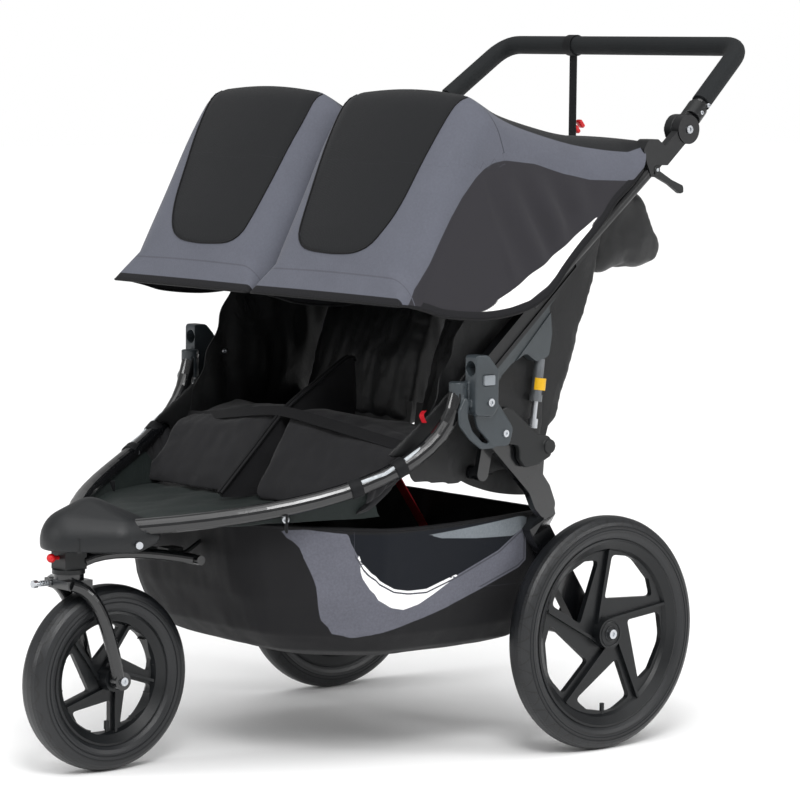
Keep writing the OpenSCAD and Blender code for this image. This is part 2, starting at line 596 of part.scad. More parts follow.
module tracking_screw() color(steel) place() {
    yrod(-18, 317, swivel_y - 52, swivel_y - 10, 6);
    for (k = [0:3]) yrod(-18, 317, swivel_y - 44 + 4.6 * k, swivel_y - 41.4 + 4.6 * k, 10);
    yrod(-18, 317, swivel_y - 58, swivel_y - 50, 13);
}
module front_tyre() color(black) place() translate([0, front_axle_y, front_r]) difference() {
    tyre(front_r, front_bead, front_tyre_w);
    rotate([0, 90, 0]) rotate_extrude($fn = 96) rim_seat(front_bead, front_tyre_w - 15);
}
module front_rim() color(charcoal) place() translate([0, front_axle_y, front_r]) {
    rim(front_bead, front_tyre_w - 15, 20, -blade_x + 12, blade_x - 12, 10 + 2 * play, 10, -24);
    valve(front_bead);
}

frame_tube_left();
frame_tube_right();
hub_left();
hub_right();
under_seat_bar();
nose_cover();
head_block();
front_brace();
brace_clamp();
swivel_lock_knob();
accessory_button_left();
accessory_button_right();
frame_bolts();
seat_left();
seat_right();
seat_divider();
footwell();
side_panel_left();
side_panel_right();
basket();
fold_strap();
upper_frame_left();
upper_frame_right();
rear_crossbar();
seat_back_left();
seat_back_right();
rear_pocket_left();
rear_pocket_right();
canopy_left();
canopy_right();
release_lever_left();
release_lever_right();
shock_body_left();
shock_body_right();
shock_rod_left();
shock_rod_right();
handle_pins();
handle_tube();
foam_grip();
handle_knuckles();
wrist_strap();
rocker_left();
rocker_right();
swing_arm_left();
swing_arm_right();
rear_axle_tube();
spindle_left();
spindle_right();
brake_bracket();
brake_pedal();
rear_tyre_left();
rear_tyre_right();
rear_rim_left();
rear_rim_right();
fork();
front_axle();
tracking_screw();
front_tyre();
front_rim();
harness();
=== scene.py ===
"""Looks for a two-seat jogging stroller: fabrics, tyres, trim and finishes on its frame."""

import math
from contextlib import contextmanager

import bpy
from mathutils import Matrix, Vector, noise


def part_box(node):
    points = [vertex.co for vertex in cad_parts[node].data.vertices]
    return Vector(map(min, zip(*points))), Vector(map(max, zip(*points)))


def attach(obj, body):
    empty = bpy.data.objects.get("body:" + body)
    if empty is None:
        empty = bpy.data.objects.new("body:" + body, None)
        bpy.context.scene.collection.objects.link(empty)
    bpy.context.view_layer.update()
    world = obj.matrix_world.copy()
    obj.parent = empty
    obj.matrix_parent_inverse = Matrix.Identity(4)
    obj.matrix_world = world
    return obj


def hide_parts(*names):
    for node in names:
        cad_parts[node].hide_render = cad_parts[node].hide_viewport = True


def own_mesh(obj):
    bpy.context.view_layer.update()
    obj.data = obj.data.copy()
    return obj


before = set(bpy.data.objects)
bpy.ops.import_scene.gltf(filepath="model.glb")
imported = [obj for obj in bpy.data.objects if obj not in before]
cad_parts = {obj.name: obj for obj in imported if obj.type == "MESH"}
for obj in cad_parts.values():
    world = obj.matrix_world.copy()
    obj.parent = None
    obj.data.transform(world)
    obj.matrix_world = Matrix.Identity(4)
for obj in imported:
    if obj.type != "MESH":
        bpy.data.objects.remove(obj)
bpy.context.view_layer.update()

bl_info = {
    "name": "Jogging stroller",
    "version": (1, 0, 0),
    "blender": (4, 5, 0),
    "location": "3D View > Sidebar > Stroller",
    "description": "Builds the fabrics, trim and finishes of a two-seat jogging stroller",
    "category": "Object",
}


def corners(node):
    """The low and the high corner of a node's box."""
    return tuple(Vector(corner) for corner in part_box(node))


def middle(node):
    low, high = corners(node)
    return (low + high) / 2


AXLE_Y = middle("rear_axle_tube").y * 1000


def at(x, y, z):
    """A point in millimetres from the rear axle's middle on the floor, in the frame's metres."""
    return Vector((x / 1000, (y + AXLE_Y) / 1000, z / 1000))


def place_of(vertex):
    """A mesh point's x, y and z in millimetres, as at() takes them."""
    return vertex.co.x * 1000, vertex.co.y * 1000 - AXLE_Y, vertex.co.z * 1000


def share_of(value):
    """The value held between 0 and 1."""
    return max(0, min(1, value))


# ---- small tools ---------------------------------------------------------------------------


def clear():
    if bpy.context.object and bpy.context.object.mode != "OBJECT":
        bpy.ops.object.mode_set(mode="OBJECT")
    bpy.ops.object.select_all(action="DESELECT")


def use(piece):
    clear()
    piece.select_set(True)
    bpy.context.view_layer.objects.active = piece
    return piece


def settle(piece):
    use(piece)
    bpy.ops.object.transform_apply(location=True, rotation=True, scale=True)
    return piece


def modify(piece, kind, **values):
    use(piece)
    modifier = piece.modifiers.new(kind.title(), kind)
    for key, value in values.items():
        setattr(modifier, key, value)
    bpy.ops.object.modifier_apply(modifier=modifier.name)
    return piece


def smooth(piece, angle=35):
    use(piece)
    bpy.ops.object.shade_smooth_by_angle(angle=math.radians(angle))
    return piece


def finish(piece, name, body, material, slot, angle=35):
    piece.name = name
    smooth(piece, angle)
    piece.data.materials.clear()
    piece.data.materials.append(material)
    if isinstance(body, str):
        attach(piece, body)
    return piece


def join(pieces):
    clear()
    for piece in pieces:
        piece.select_set(True)
    bpy.context.view_layer.objects.active = pieces[0]
    if len(pieces) > 1:
        bpy.ops.object.join()
    return pieces[0]


def turn_to(direction):
    return Vector(direction).to_track_quat("Z", "Y").to_euler()


def disc(centre, direction, radius, depth, bevel=0.0, sides=32, segments=3):
    """A round piece standing on centre along direction, its edges rounded; sizes in millimetres."""
    clear()
    direction = Vector(direction).normalized()
    bpy.ops.mesh.primitive_cylinder_add(
        vertices=sides, radius=radius / 1000, depth=depth / 1000,
        location=centre + direction * depth / 2000, rotation=turn_to(direction))
    piece = bpy.context.object
    if bevel:
        modify(piece, "BEVEL", width=bevel / 1000, segments=segments, limit_method="ANGLE")
    return settle(piece)


def bolt(centre, direction, radius, depth):
    """A round bolt head with a raised step on its top and a round socket sunk in it."""
    piece = disc(centre, direction, radius, depth)
    direction = Vector(direction).normalized()
    use(piece)
    bpy.ops.object.mode_set(mode="EDIT")
    bpy.ops.mesh.select_all(action="DESELECT")
    bpy.ops.object.mode_set(mode="OBJECT")
    best = max(piece.data.polygons, key=lambda f: (f.center - centre).dot(direction))
    best.select = True
    bpy.ops.object.mode_set(mode="EDIT")
    bpy.ops.mesh.inset(thickness=radius * 0.18 / 1000)
    bpy.ops.transform.translate(value=direction * radius * 0.14 / 1000)
    bpy.ops.mesh.inset(thickness=radius * 0.36 / 1000)
    bpy.ops.mesh.inset(thickness=radius * 0.02 / 1000)
    bpy.ops.transform.translate(value=-direction * radius * 0.5 / 1000)
    bpy.ops.object.mode_set(mode="OBJECT")
    return piece


def block(centre, size, bevel, turn=(0, 0, 0), segments=3):
    """A box with rounded edges; its size in millimetres."""
    clear()
    bpy.ops.mesh.primitive_cube_add(size=1, location=centre, rotation=turn,
                                    scale=[s / 1000 for s in size])
    piece = bpy.context.object
    use(piece)
    bpy.ops.object.transform_apply(location=False, rotation=False, scale=True)
    modify(piece, "BEVEL", width=bevel / 1000, segments=segments)
    return settle(piece)


def ringed(centre, direction, radius, thickness, sides=48):
    clear()
    bpy.ops.mesh.primitive_torus_add(
        major_radius=radius / 1000, minor_radius=thickness / 1000, major_segments=sides,
        minor_segments=8, location=centre, rotation=turn_to(direction))
    return settle(bpy.context.object)


def cloth_grid(across, along, place):
    """A grid of cloth whose points are put in place by place(u, v), both from 0 to 1."""
    clear()
    bpy.ops.mesh.primitive_grid_add(x_subdivisions=across, y_subdivisions=along, size=2,
                                    calc_uvs=True)
    piece = bpy.context.object
    for vertex in piece.data.vertices:
        vertex.co = place((vertex.co.x + 1) / 2, (vertex.co.y + 1) / 2)
    piece.data.update()
    return piece


def store(piece, name, marks, rule):
    """Stores rule(*mark) on each point of the mesh, for use by a material."""
    layer = piece.data.attributes.new(name, "FLOAT", "POINT")
    for mark, item in zip(marks, layer.data):
        item.value = rule(*mark)


@contextmanager
def editing(piece):
    """Edit mode, with the whole piece selected."""
    use(piece)
    bpy.ops.object.mode_set(mode="EDIT")
    bpy.ops.mesh.select_all(action="SELECT")
    yield
    bpy.ops.object.mode_set(mode="OBJECT")


def thicken(piece, thickness):
    """Gives a sheet its thickness in metres, and returns the area of one of its faces."""
    modify(piece, "SOLIDIFY", thickness=thickness, offset=0)
    return sum(f.area for f in piece.data.polygons) / 2


def outward(piece):
    """Merges points that meet, and turns every face outwards."""
    with editing(piece):
        bpy.ops.mesh.remove_doubles(threshold=0.00005)
        bpy.ops.mesh.normals_make_consistent(inside=False)
    return piece


def mirrored(piece):
    """The same piece on the stroller's other side, with its own mesh."""
    use(piece)
    bpy.ops.object.duplicate()
    other = bpy.context.object
    other.data.transform(Matrix.Scale(-1, 4, (1, 0, 0)))
    with editing(other):
        bpy.ops.mesh.flip_normals()
    return other


def both_sides(piece):
    """The piece as the left one, and its mirrored copy as the right one."""
    return ("left", piece), ("right", mirrored(piece))


def along(points, t):
    """The point at share t of the way along a line of points, by length."""
    sizes = [(b - a).length for a, b in zip(points, points[1:])]
    left = t * sum(sizes)
    for a, b, size in zip(points, points[1:], sizes):
        if left <= size or b is points[-1]:
            return a.lerp(b, min(left / max(size, 1e-9), 1))
        left -= size
    return points[-1]


def curve_through(points, count):
    """A smooth line through the points, as count points evenly spaced."""
    fine = []
    for i in range(len(points) - 1):
        a, b, c, d = (Vector(points[max(i - 1, 0)]), Vector(points[i]), Vector(points[i + 1]),
                      Vector(points[min(i + 2, len(points) - 1)]))
        for k in range(10):
            t = k / 10
            fine.append(0.5 * ((2 * b) + (c - a) * t + (2 * a - 5 * b + 4 * c - d) * t * t
                               + (3 * b - a - 3 * c + d) * t ** 3))
    fine.append(Vector(points[-1]))
    return [along(fine, k / (count - 1)) for k in range(count)]


def tube(points, radius, closed=False, sides=3):
    """A round tube along points; radius in millimetres."""
    clear()
    line = bpy.data.curves.new("line", "CURVE")
    line.dimensions = "3D"
    line.bevel_depth = radius / 1000
    line.bevel_resolution = sides
    line.use_fill_caps = True
    spline = line.splines.new("POLY")
    spline.points.add(len(points) - 1)
    for item, point in zip(spline.points, points):
        item.co = (*point, 1)
    spline.use_cyclic_u = closed
    piece = bpy.data.objects.new("line", line)
    bpy.context.collection.objects.link(piece)
    use(piece)
    bpy.ops.object.convert(target="MESH")
    return bpy.context.object


def strap(points, width, thickness, side, count=40):
    """A flat strap along points, its width across the side direction; sizes in millimetres."""
    line = curve_through(points, count)
    side = Vector(side).normalized()

    def place(u, v):
        return along(line, v) + side * (u - 0.5) * width / 1000

    piece = cloth_grid(4, count, place)
    modify(piece, "SOLIDIFY", thickness=thickness / 1000, offset=0)
    return piece


def inside(point, outline):
    """How far a point is inside a closed outline, in its own units; below zero outside."""
    x, y = point
    near, within = 1e9, False
    for i, (bx, by) in enumerate(outline):
        ax, ay = outline[i - 1]
        dx, dy = bx - ax, by - ay
        t = max(0, min(1, ((x - ax) * dx + (y - ay) * dy) / (dx * dx + dy * dy)))
        near = min(near, math.hypot(x - ax - t * dx, y - ay - t * dy))
        if (ay > y) != (by > y) and x < (bx - ax) * (y - ay) / (by - ay) + ax:
            within = not within
    return near if within else -near


def table(rows, key):
    """Reads a list of rows by their first number, with straight lines between them."""
    for low, high in zip(rows, rows[1:]):
        if key <= high[0]:
            t = max(0, (key - low[0]) / (high[0] - low[0]))
            return [a + (b - a) * t for a, b in zip(low[1:], high[1:])]
    return list(rows[-1][1:])


def remeshed(node_name, ending, voxel, times, whole=False):
    """A smoothed copy of a node's solid in even faces; whole closes its hollows first."""
    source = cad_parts[node_name]
    piece = bpy.data.objects.new(node_name + ending, source.data.copy())
    bpy.context.collection.objects.link(piece)
    with editing(piece):
        bpy.ops.mesh.remove_doubles(threshold=0.00001)
        if whole:
            bpy.ops.mesh.convex_hull()
    modify(piece, "REMESH", mode="VOXEL", voxel_size=voxel / 1000)
    return modify(piece, "SMOOTH", factor=0.5, iterations=times)


def stuffed(node_name, voxel, pressure, most):
    """A padded copy of a soft solid: remeshed, blown up a little as cloth, and smoothed."""
    piece = remeshed(node_name, "_pad", voxel, 6)
    start = [v.co.copy() for v in piece.data.vertices]
    scene = bpy.context.scene
    modifier = piece.modifiers.new("Cloth", "CLOTH")
    cloth = modifier.settings
    cloth.use_pressure = True
    cloth.uniform_pressure_force = pressure
    cloth.effector_weights.gravity = 0
    cloth.tension_stiffness = 8
    cloth.compression_stiffness = 8
    for number in range(1, 21):
        scene.frame_set(number)
    use(piece)
    bpy.ops.object.modifier_apply(modifier=modifier.name)
    scene.frame_set(1)
    for vertex, rest in zip(piece.data.vertices, start):
        moved = vertex.co - rest
        if moved.length > most / 1000:
            vertex.co = rest + moved.normalized() * most / 1000
    modify(piece, "SMOOTH", factor=0.5, iterations=3)
    return modify(piece, "SUBSURF", levels=1, render_levels=1)


def crease(piece, depth, scale, stretch=(1, 1, 1), seed=0):
    """Moves the points of a cloth along their normals in soft folds; depth in millimetres."""
    piece.data.update()
    normals = [v.normal.copy() for v in piece.data.vertices]
    for vertex, normal in zip(piece.data.vertices, normals):
        p = Vector(a * b for a, b in zip(vertex.co, stretch)) * scale
        fold = noise.noise(p + Vector((seed, 0, 0)))
        fold += 0.5 * noise.noise(p * 2.3 + Vector((0, seed, 0)))
        vertex.co += normal * fold * depth / 1000
    piece.data.update()
    return piece


def softened(node_name, body, coat, slot, voxel, times, whole=False):
    """A copy of a moulded part with its edges rounded off; whole closes its hollows first."""
    piece = remeshed(node_name, "_shell", voxel, times, whole)
    finish(piece, node_name + "_shell", body, FINISHES[coat], slot, 80)
    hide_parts(node_name)
    return piece


def round_corners(piece, left, right, foot, radius, reach):
    """Rounds the two lower corners of a hanging pad in front of reach; all in millimetres."""
    for vertex in piece.data.vertices:
        x, y, z = place_of(vertex)
        if y > reach or z > foot + radius:
            continue
        for edge, sign in ((left, 1), (right, -1)):
            dx, dz = (x - edge) * sign - radius, z - foot - radius
            size = math.hypot(dx, dz)
            if dx < 0 and size > radius:
                vertex.co.x = (edge + sign * (radius + dx * radius / size)) / 1000
                vertex.co.z = (foot + radius + dz * radius / size) / 1000


# ---- finishes ------------------------------------------------------------------------------


def new_group(name, takes, gives):
    tree = bpy.data.node_groups.new(name, "ShaderNodeTree")
    for label, kind, default in takes:
        socket = tree.interface.new_socket(name=label, in_out="INPUT", socket_type=kind)
        if default is not None:
            socket.default_value = default
    for label, kind in gives:
        tree.interface.new_socket(name=label, in_out="OUTPUT", socket_type=kind)
    return tree, tree.nodes.new("NodeGroupInput"), tree.nodes.new("NodeGroupOutput")


def node(tree, kind, **values):
    made = tree.nodes.new(kind)
    for key, value in values.items():
        setattr(made, key, value)
    return made


def calculate(tree, operation, a, b=None, c=None):
    made = node(tree, "ShaderNodeMath", operation=operation)
    for socket, value in zip(made.inputs, (a, b, c)):
        if value is None:
            continue
        if isinstance(value, (int, float)):
            socket.default_value = value
        else:
            tree.links.new(value, socket)
    return made.outputs[0]


def remap(tree, value, start, end, low=0.0, high=1.0):
    """The value, carried from start..end over to low..high."""
    made = node(tree, "ShaderNodeMapRange")
    tree.links.new(value, made.inputs["Value"])
    for label, number in (("From Min", start), ("From Max", end), ("To Min", low),
                          ("To Max", high)):
        made.inputs[label].default_value = number
    return made.outputs[0]


def noise_of(tree, vector, **values):
    """The factor of a noise texture whose inputs are set by name."""
    made = node(tree, "ShaderNodeTexNoise")
    for label, number in values.items():
        made.inputs[label].default_value = number
    tree.links.new(vector, made.inputs["Vector"])
    return made.outputs["Fac"]


def weave_group():
    """Crossed threads with soft creases: a height, and a shade that varies along the yarn and
    carries painted shade, darker in the crease hollows and lighter on their crests.
    """
    tree, takes, gives = new_group(
        "Woven cloth",
        [("Vector", "NodeSocketVector", None), ("Threads", "NodeSocketFloat", 700.0),
         ("Creases", "NodeSocketFloat", 0.4)],
        [("Height", "NodeSocketFloat"), ("Shade", "NodeSocketFloat")])
    link = tree.links.new
    rises = []
    for turn in ((0.4, 0.5, 0.1), (0.4, 0.5, 1.67)):
        mapping = node(tree, "ShaderNodeMapping")
        mapping.inputs["Rotation"].default_value = turn
        link(takes.outputs["Vector"], mapping.inputs["Vector"])
        wave = node(tree, "ShaderNodeTexWave", bands_direction="X")
        link(mapping.outputs[0], wave.inputs["Vector"])
        link(takes.outputs["Threads"], wave.inputs["Scale"])
        wave.inputs["Distortion"].default_value = 1.5
        wave.inputs["Detail Scale"].default_value = 2.0
        rises.append(wave.outputs["Fac"])
    thread = calculate(tree, "MAXIMUM", rises[0], rises[1])
    folds = noise_of(tree, takes.outputs["Vector"], Scale=14, Detail=4, Distortion=0.8)
    slub = noise_of(tree, takes.outputs["Vector"], Scale=260, Detail=3)
    fold = calculate(tree, "MULTIPLY", folds, takes.outputs["Creases"])
    link(calculate(tree, "MULTIPLY_ADD", thread, 0.05, fold), gives.inputs["Height"])
    # Painted shade: the same crease noise that raises the folds darkens their hollows and lightens
    # their crests; the slub part is the yarn's own tone.
    yarn_tone_and_crease_shade = calculate(tree, "MULTIPLY_ADD", slub, 0.6, calculate(tree, "MULTIPLY", folds, 0.4))
    link(yarn_tone_and_crease_shade, gives.inputs["Shade"])
    return tree


def grain_group():
    """Fine moulded or sprayed grain: a height, and a shade with faint scuffs."""
    tree, takes, gives = new_group(
        "Fine grain",
        [("Vector", "NodeSocketVector", None), ("Size", "NodeSocketFloat", 900.0)],
        [("Height", "NodeSocketFloat"), ("Shade", "NodeSocketFloat")])
    link = tree.links.new
    fine = node(tree, "ShaderNodeTexNoise")
    fine.inputs["Detail"].default_value = 4
    link(takes.outputs["Vector"], fine.inputs["Vector"])
    link(takes.outputs["Size"], fine.inputs["Scale"])
    cells = node(tree, "ShaderNodeTexVoronoi")
    link(takes.outputs["Vector"], cells.inputs["Vector"])
    link(calculate(tree, "MULTIPLY", takes.outputs["Size"], 0.7), cells.inputs["Scale"])
    scuffs = noise_of(tree, takes.outputs["Vector"], Scale=22, Detail=6, Roughness=0.65)
    link(calculate(tree, "MULTIPLY_ADD", cells.outputs["Distance"], 0.5, fine.outputs["Fac"]),
         gives.inputs["Height"])
    link(calculate(tree, "MULTIPLY_ADD", scuffs, 0.7,
                   calculate(tree, "MULTIPLY", fine.outputs["Fac"], 0.3)), gives.inputs["Shade"])
    return tree


def tread_group():
    """Scalloped grooves and cross cuts of a tyre that turns about X through the origin."""
    tree, takes, gives = new_group(
        "Tyre grooves",
        [("Vector", "NodeSocketVector", None), ("Scallops", "NodeSocketFloat", 40.0),
         ("Radius", "NodeSocketFloat", 0.2)],
        [("Groove", "NodeSocketFloat"), ("Height", "NodeSocketFloat")])
    parts = node(tree, "ShaderNodeSeparateXYZ")
    tree.links.new(takes.outputs["Vector"], parts.inputs[0])
    x, y, z = parts.outputs
    radius, count = takes.outputs["Radius"], takes.outputs["Scallops"]

    def do(*words):
        return calculate(tree, *words)

    side = do("ABSOLUTE", x)
    turn = do("DIVIDE", do("ARCTAN2", z, y), 2 * math.pi)
    cell = do("DIVIDE", do("MULTIPLY", radius, 2 * math.pi), count)
    share = do("SUBTRACT", do("FRACT", do("MULTIPLY", turn, count)), 0.5)
    run = do("MULTIPLY", share, cell)
    reach = do("SUBTRACT", side, 0.007)
    away = do("SQRT", do("ADD", do("MULTIPLY", run, run), do("MULTIPLY", reach, reach)))
    arc = do("LESS_THAN", do("ABSOLUTE", do("SUBTRACT", away, do("MULTIPLY", cell, 0.42))), 0.0011)
    arc = do("MULTIPLY", arc, do("GREATER_THAN", side, 0.007))
    half_turn = do("SUBTRACT", do("FRACT", do("MULTIPLY", turn, do("MULTIPLY", count, 2.0))), 0.5)
    cut = do("LESS_THAN", do("ABSOLUTE", half_turn), 0.055)
    cut = do("MULTIPLY", cut, do("LESS_THAN", do("ABSOLUTE", do("SUBTRACT", side, 0.009)), 0.0045))
    out = do("SQRT", do("ADD", do("MULTIPLY", y, y), do("MULTIPLY", z, z)))
    tread = do("GREATER_THAN", out, do("SUBTRACT", radius, 0.0145))
    groove = do("MULTIPLY", do("MAXIMUM", arc, cut), tread)
    for depth in (0.0185, 0.0265):
        ring = do("LESS_THAN", do("ABSOLUTE", do("SUBTRACT", out, do("SUBTRACT", radius, depth))),
                  0.0007)
        groove = do("MAXIMUM", groove, ring)
    tree.links.new(groove, gives.inputs["Groove"])
    tree.links.new(do("SUBTRACT", 1.0, groove), gives.inputs["Height"])
    return tree


def tyre_finish(name, colour, centre, radius, scallops):
    """Rubber with moulded grooves, round a wheel's own middle, with painted shade darkening the
    grooves.
    """
    material = finish_of(name, colour, 0.42, size=700, bump=0.3, vary=0.25, shine=0.5)
    tree = material.node_tree
    link = tree.links.new
    shader = next(n for n in tree.nodes if n.type == "BSDF_PRINCIPLED")
    raised = next(n for n in tree.nodes if n.type == "BUMP")
    tint = next(n for n in tree.nodes if n.type == "VECT_MATH")
    where = next(n for n in tree.nodes if n.type == "TEX_COORD")
    centred = node(tree, "ShaderNodeMapping")
    centred.inputs["Location"].default_value = -centre
    link(where.outputs["Object"], centred.inputs["Vector"])
    grooves = node(tree, "ShaderNodeGroup")
    grooves.node_tree = GROUPS["tread"]
    link(centred.outputs[0], grooves.inputs["Vector"])
    grooves.inputs["Scallops"].default_value = scallops
    grooves.inputs["Radius"].default_value = radius
    # Painted shade: the base colour drops to a quarter in the grooves, arcs and rings, where shade
    # would fall.
    groove_shade = remap(tree, grooves.outputs["Groove"], 0, 1, 1.0, 0.25)
    cut = node(tree, "ShaderNodeVectorMath", operation="SCALE")
    link(tint.outputs[0], cut.inputs[0])
    link(groove_shade, cut.inputs["Scale"])
    link(cut.outputs[0], shader.inputs["Base Color"])
    second = node(tree, "ShaderNodeBump")
    second.inputs["Strength"].default_value = 0.9
    second.inputs["Distance"].default_value = 0.003
    link(grooves.outputs["Height"], second.inputs["Height"])
    link(raised.outputs[0], second.inputs["Normal"])
    link(second.outputs[0], shader.inputs["Normal"])
    return material


GROUPS = {}


def finish_of(name, colour, rough, kind="grain", size=900.0, creases=0.4, bump=0.2, vary=0.2,
              metallic=0.0, coat=0.0, sheen=0.0, shine=None, colour_link=None):
    """A material: a base colour that varies, a roughness that follows it, and a fine bump."""
    material = bpy.data.materials.new(name)
    material.use_nodes = True
    tree = material.node_tree
    tree.nodes.clear()
    link = tree.links.new
    out = node(tree, "ShaderNodeOutputMaterial")
    shader = node(tree, "ShaderNodeBsdfPrincipled")
    link(shader.outputs[0], out.inputs[0])
    where = node(tree, "ShaderNodeTexCoord")
    effect = node(tree, "ShaderNodeGroup")
    effect.node_tree = GROUPS["cloth" if kind == "cloth" else "grain"]
    link(where.outputs["Object"], effect.inputs["Vector"])
    effect.inputs["Threads" if kind == "cloth" else "Size"].default_value = size
    if kind == "cloth":
        effect.inputs["Creases"].default_value = creases
    # For cloth this scale also carries the weave's painted crease shade, besides the yarn's own
    # tone.
    lights = remap(tree, effect.outputs["Shade"], 0.3, 0.7, 1 - vary, 1 + vary)
    tint = node(tree, "ShaderNodeVectorMath", operation="SCALE")
    if colour_link:
        link(colour_link(tree), tint.inputs[0])
    else:
        tint.inputs[0].default_value = colour
    link(lights, tint.inputs["Scale"])
    link(tint.outputs[0], shader.inputs["Base Color"])
    dull = remap(tree, effect.outputs["Shade"], 0.3, 0.7, max(rough - 0.07, 0.03),
                 min(rough + 0.07, 1))
    link(dull, shader.inputs["Roughness"])
    raised = node(tree, "ShaderNodeBump")
    raised.inputs["Strength"].default_value = bump
    raised.inputs["Distance"].default_value = 0.004 if kind == "cloth" else 0.0006
    link(effect.outputs["Height"], raised.inputs["Height"])
    link(raised.outputs[0], shader.inputs["Normal"])
    shader.inputs["Metallic"].default_value = metallic
    shader.inputs["Coat Weight"].default_value = coat
    shader.inputs["Coat Roughness"].default_value = 0.12
    shader.inputs["Specular IOR Level"].default_value = (
        shine if shine is not None else 0.16 if kind == "cloth" else 0.35)
    shader.inputs["Sheen Weight"].default_value = sheen * 0.35
    shader.inputs["Sheen Roughness"].default_value = 0.45
    return material


def above(tree, name, width=1.0):
    """A mask that is 1 where the stored distance is above zero."""
    read = node(tree, "ShaderNodeAttribute", attribute_name=name)
    return remap(tree, read.outputs["Fac"], -width / 2, width / 2)


def seam_line(tree, name, width=1.4):
    """A mask that is 1 on the line where the stored distance is zero."""
    read = node(tree, "ShaderNodeAttribute", attribute_name=name)
    away = calculate(tree, "ABSOLUTE", read.outputs["Fac"])
    return calculate(tree, "LESS_THAN", away, width)


def web_colour(tree):
    """Black on the arm's tube, and grey on the cast web below it."""
    where = node(tree, "ShaderNodeTexCoord")
    parts = node(tree, "ShaderNodeSeparateXYZ")
    tree.links.new(where.outputs["Object"], parts.inputs[0])
    foot = at(0, -300, 620)
    below = calculate(tree, "MULTIPLY_ADD", parts.outputs["Y"], 0.663, -0.663 * foot.y)
    below = calculate(tree, "MULTIPLY_ADD", parts.outputs["Z"], -0.749,
                      calculate(tree, "ADD", below, 0.749 * foot.z))
    edge = remap(tree, below, 0.0165, 0.0175)
    low = calculate(tree, "LESS_THAN", parts.outputs["Z"], 0.84)
    mask = calculate(tree, "MULTIPLY", edge, low)
    mix = node(tree, "ShaderNodeMix", data_type="RGBA")
    mix.inputs["A"].default_value = (*tone("0d0e10"), 1)
    mix.inputs["B"].default_value = (*tone("363b3e"), 1)
    tree.links.new(mask, mix.inputs["Factor"])
    return mix.outputs["Result"]


def layered(base, *layers):
    """Colours laid over a base colour, each where its mask is 1."""
    def build(tree):
        colour = None
        for kind, name, over in layers:
            mix = node(tree, "ShaderNodeMix", data_type="RGBA")
            if colour is None:
                mix.inputs["A"].default_value = (*base, 1)
            else:
                tree.links.new(colour, mix.inputs["A"])
            mix.inputs["B"].default_value = (*over, 1)
            mask = above(tree, name) if kind == "area" else seam_line(tree, name)
            tree.links.new(mask, mix.inputs["Factor"])
            colour = mix.outputs["Result"]
        return colour
    return build


def tone(code):
    """A colour from its six-figure code, as Blender's linear values."""
    parts = [int(code[i:i + 2], 16) / 255 for i in (0, 2, 4)]
    return tuple(c / 12.92 if c < 0.04045 else ((c + 0.055) / 1.055) ** 2.4 for c in parts)


# ---- sizes and colours a user may change ---------------------------------------------------


def shade(label, about, code):
    return bpy.props.FloatVectorProperty(name=label, description=about, subtype="COLOR", size=3,
                                         min=0, max=1, default=tone(code))


def length(label, about, value):
    return bpy.props.FloatProperty(name=label, description=about, default=value / 1000,
                                   min=0, unit="LENGTH")


class StageSettings(bpy.types.PropertyGroup):
    bl_idname = "STROLLER_PG_stage"
    lens: bpy.props.FloatProperty(name="Lens", description="Focal length of the camera",
                                  default=156.08, unit="CAMERA")
    floor_colour: shade("Floor", "Colour of the floor", "fbfbfb")


class CanopySettings(bpy.types.PropertyGroup):
    bl_idname = "STROLLER_PG_canopy"
    main_colour: shade("Main cloth", "Colour of the hood's main cloth", "54565f")
    tongue_colour: shade("Tongue", "Colour of the panel down the hood's middle", "161719")
    side_colour: shade("Side panel", "Colour of the dark side panel", "29282c")
    leaf_colour: shade("Reflective leaf", "Colour of the bright leaf on the side", "fbfaf8")
    crown: length("Crown", "How far the hood rises in its middle", 14)
    wall: length("Cloth thickness", "Thickness of the hood's cloth", 1.6)


class BasketSettings(bpy.types.PropertyGroup):
    bl_idname = "STROLLER_PG_basket"
    body_colour: shade("Bag cloth", "Colour of the basket's main cloth", "151517")
    swoosh_colour: shade("Side band", "Colour of the curved band on each side", "5b5c65")
    mesh_colour: shade("Net", "Colour of the net at the rear of each side", "6d7378")
    sag: length("Rim sag", "How far the rim hangs at the middle of each side", 10)


class SeatSettings(bpy.types.PropertyGroup):
    bl_idname = "STROLLER_PG_seat"
    pad_colour: shade("Pad cloth", "Colour of the seat pads", "1d1d1f")
    pressure: bpy.props.FloatProperty(name="Stuffing", description="Pressure that fills the pads",
                                      default=4.0, min=0, max=12)
    puff: length("Greatest swell", "How far a point of a pad may swell", 6)


class TrimSettings(bpy.types.PropertyGroup):
    bl_idname = "STROLLER_PG_trim"
    frame_colour: shade("Frame", "Colour of the painted frame tubes", "0b0c0e")
    red_colour: shade("Red webbing", "Colour of the safety webbing", "a5101d")


class WheelSettings(bpy.types.PropertyGroup):
    bl_idname = "STROLLER_PG_wheel"
    rubber_colour: shade("Rubber", "Colour of the tyres", "111316")
    scallops: bpy.props.IntProperty(name="Scallops", description="Scallops round a rear tyre",
                                    default=32, min=12, max=80)


SETTINGS = {"stage": StageSettings, "canopy": CanopySettings, "basket": BasketSettings,
            "seat": SeatSettings, "trim": TrimSettings, "wheel": WheelSettings}


def settings(name):
    return getattr(bpy.context.scene, "stroller_" + name)


# ---- operators -----------------------------------------------------------------------------


class Builder(bpy.types.Operator):
    """Base of the stroller's operators"""

    bl_idname = "stroller.base"
    bl_label = "Stroller piece"
    bl_options = {"REGISTER", "UNDO"}

    def execute(self, context):
        self.build()
        return {"FINISHED"}

    def build(self):
        raise RuntimeError("Choose one of the stroller's own pieces")


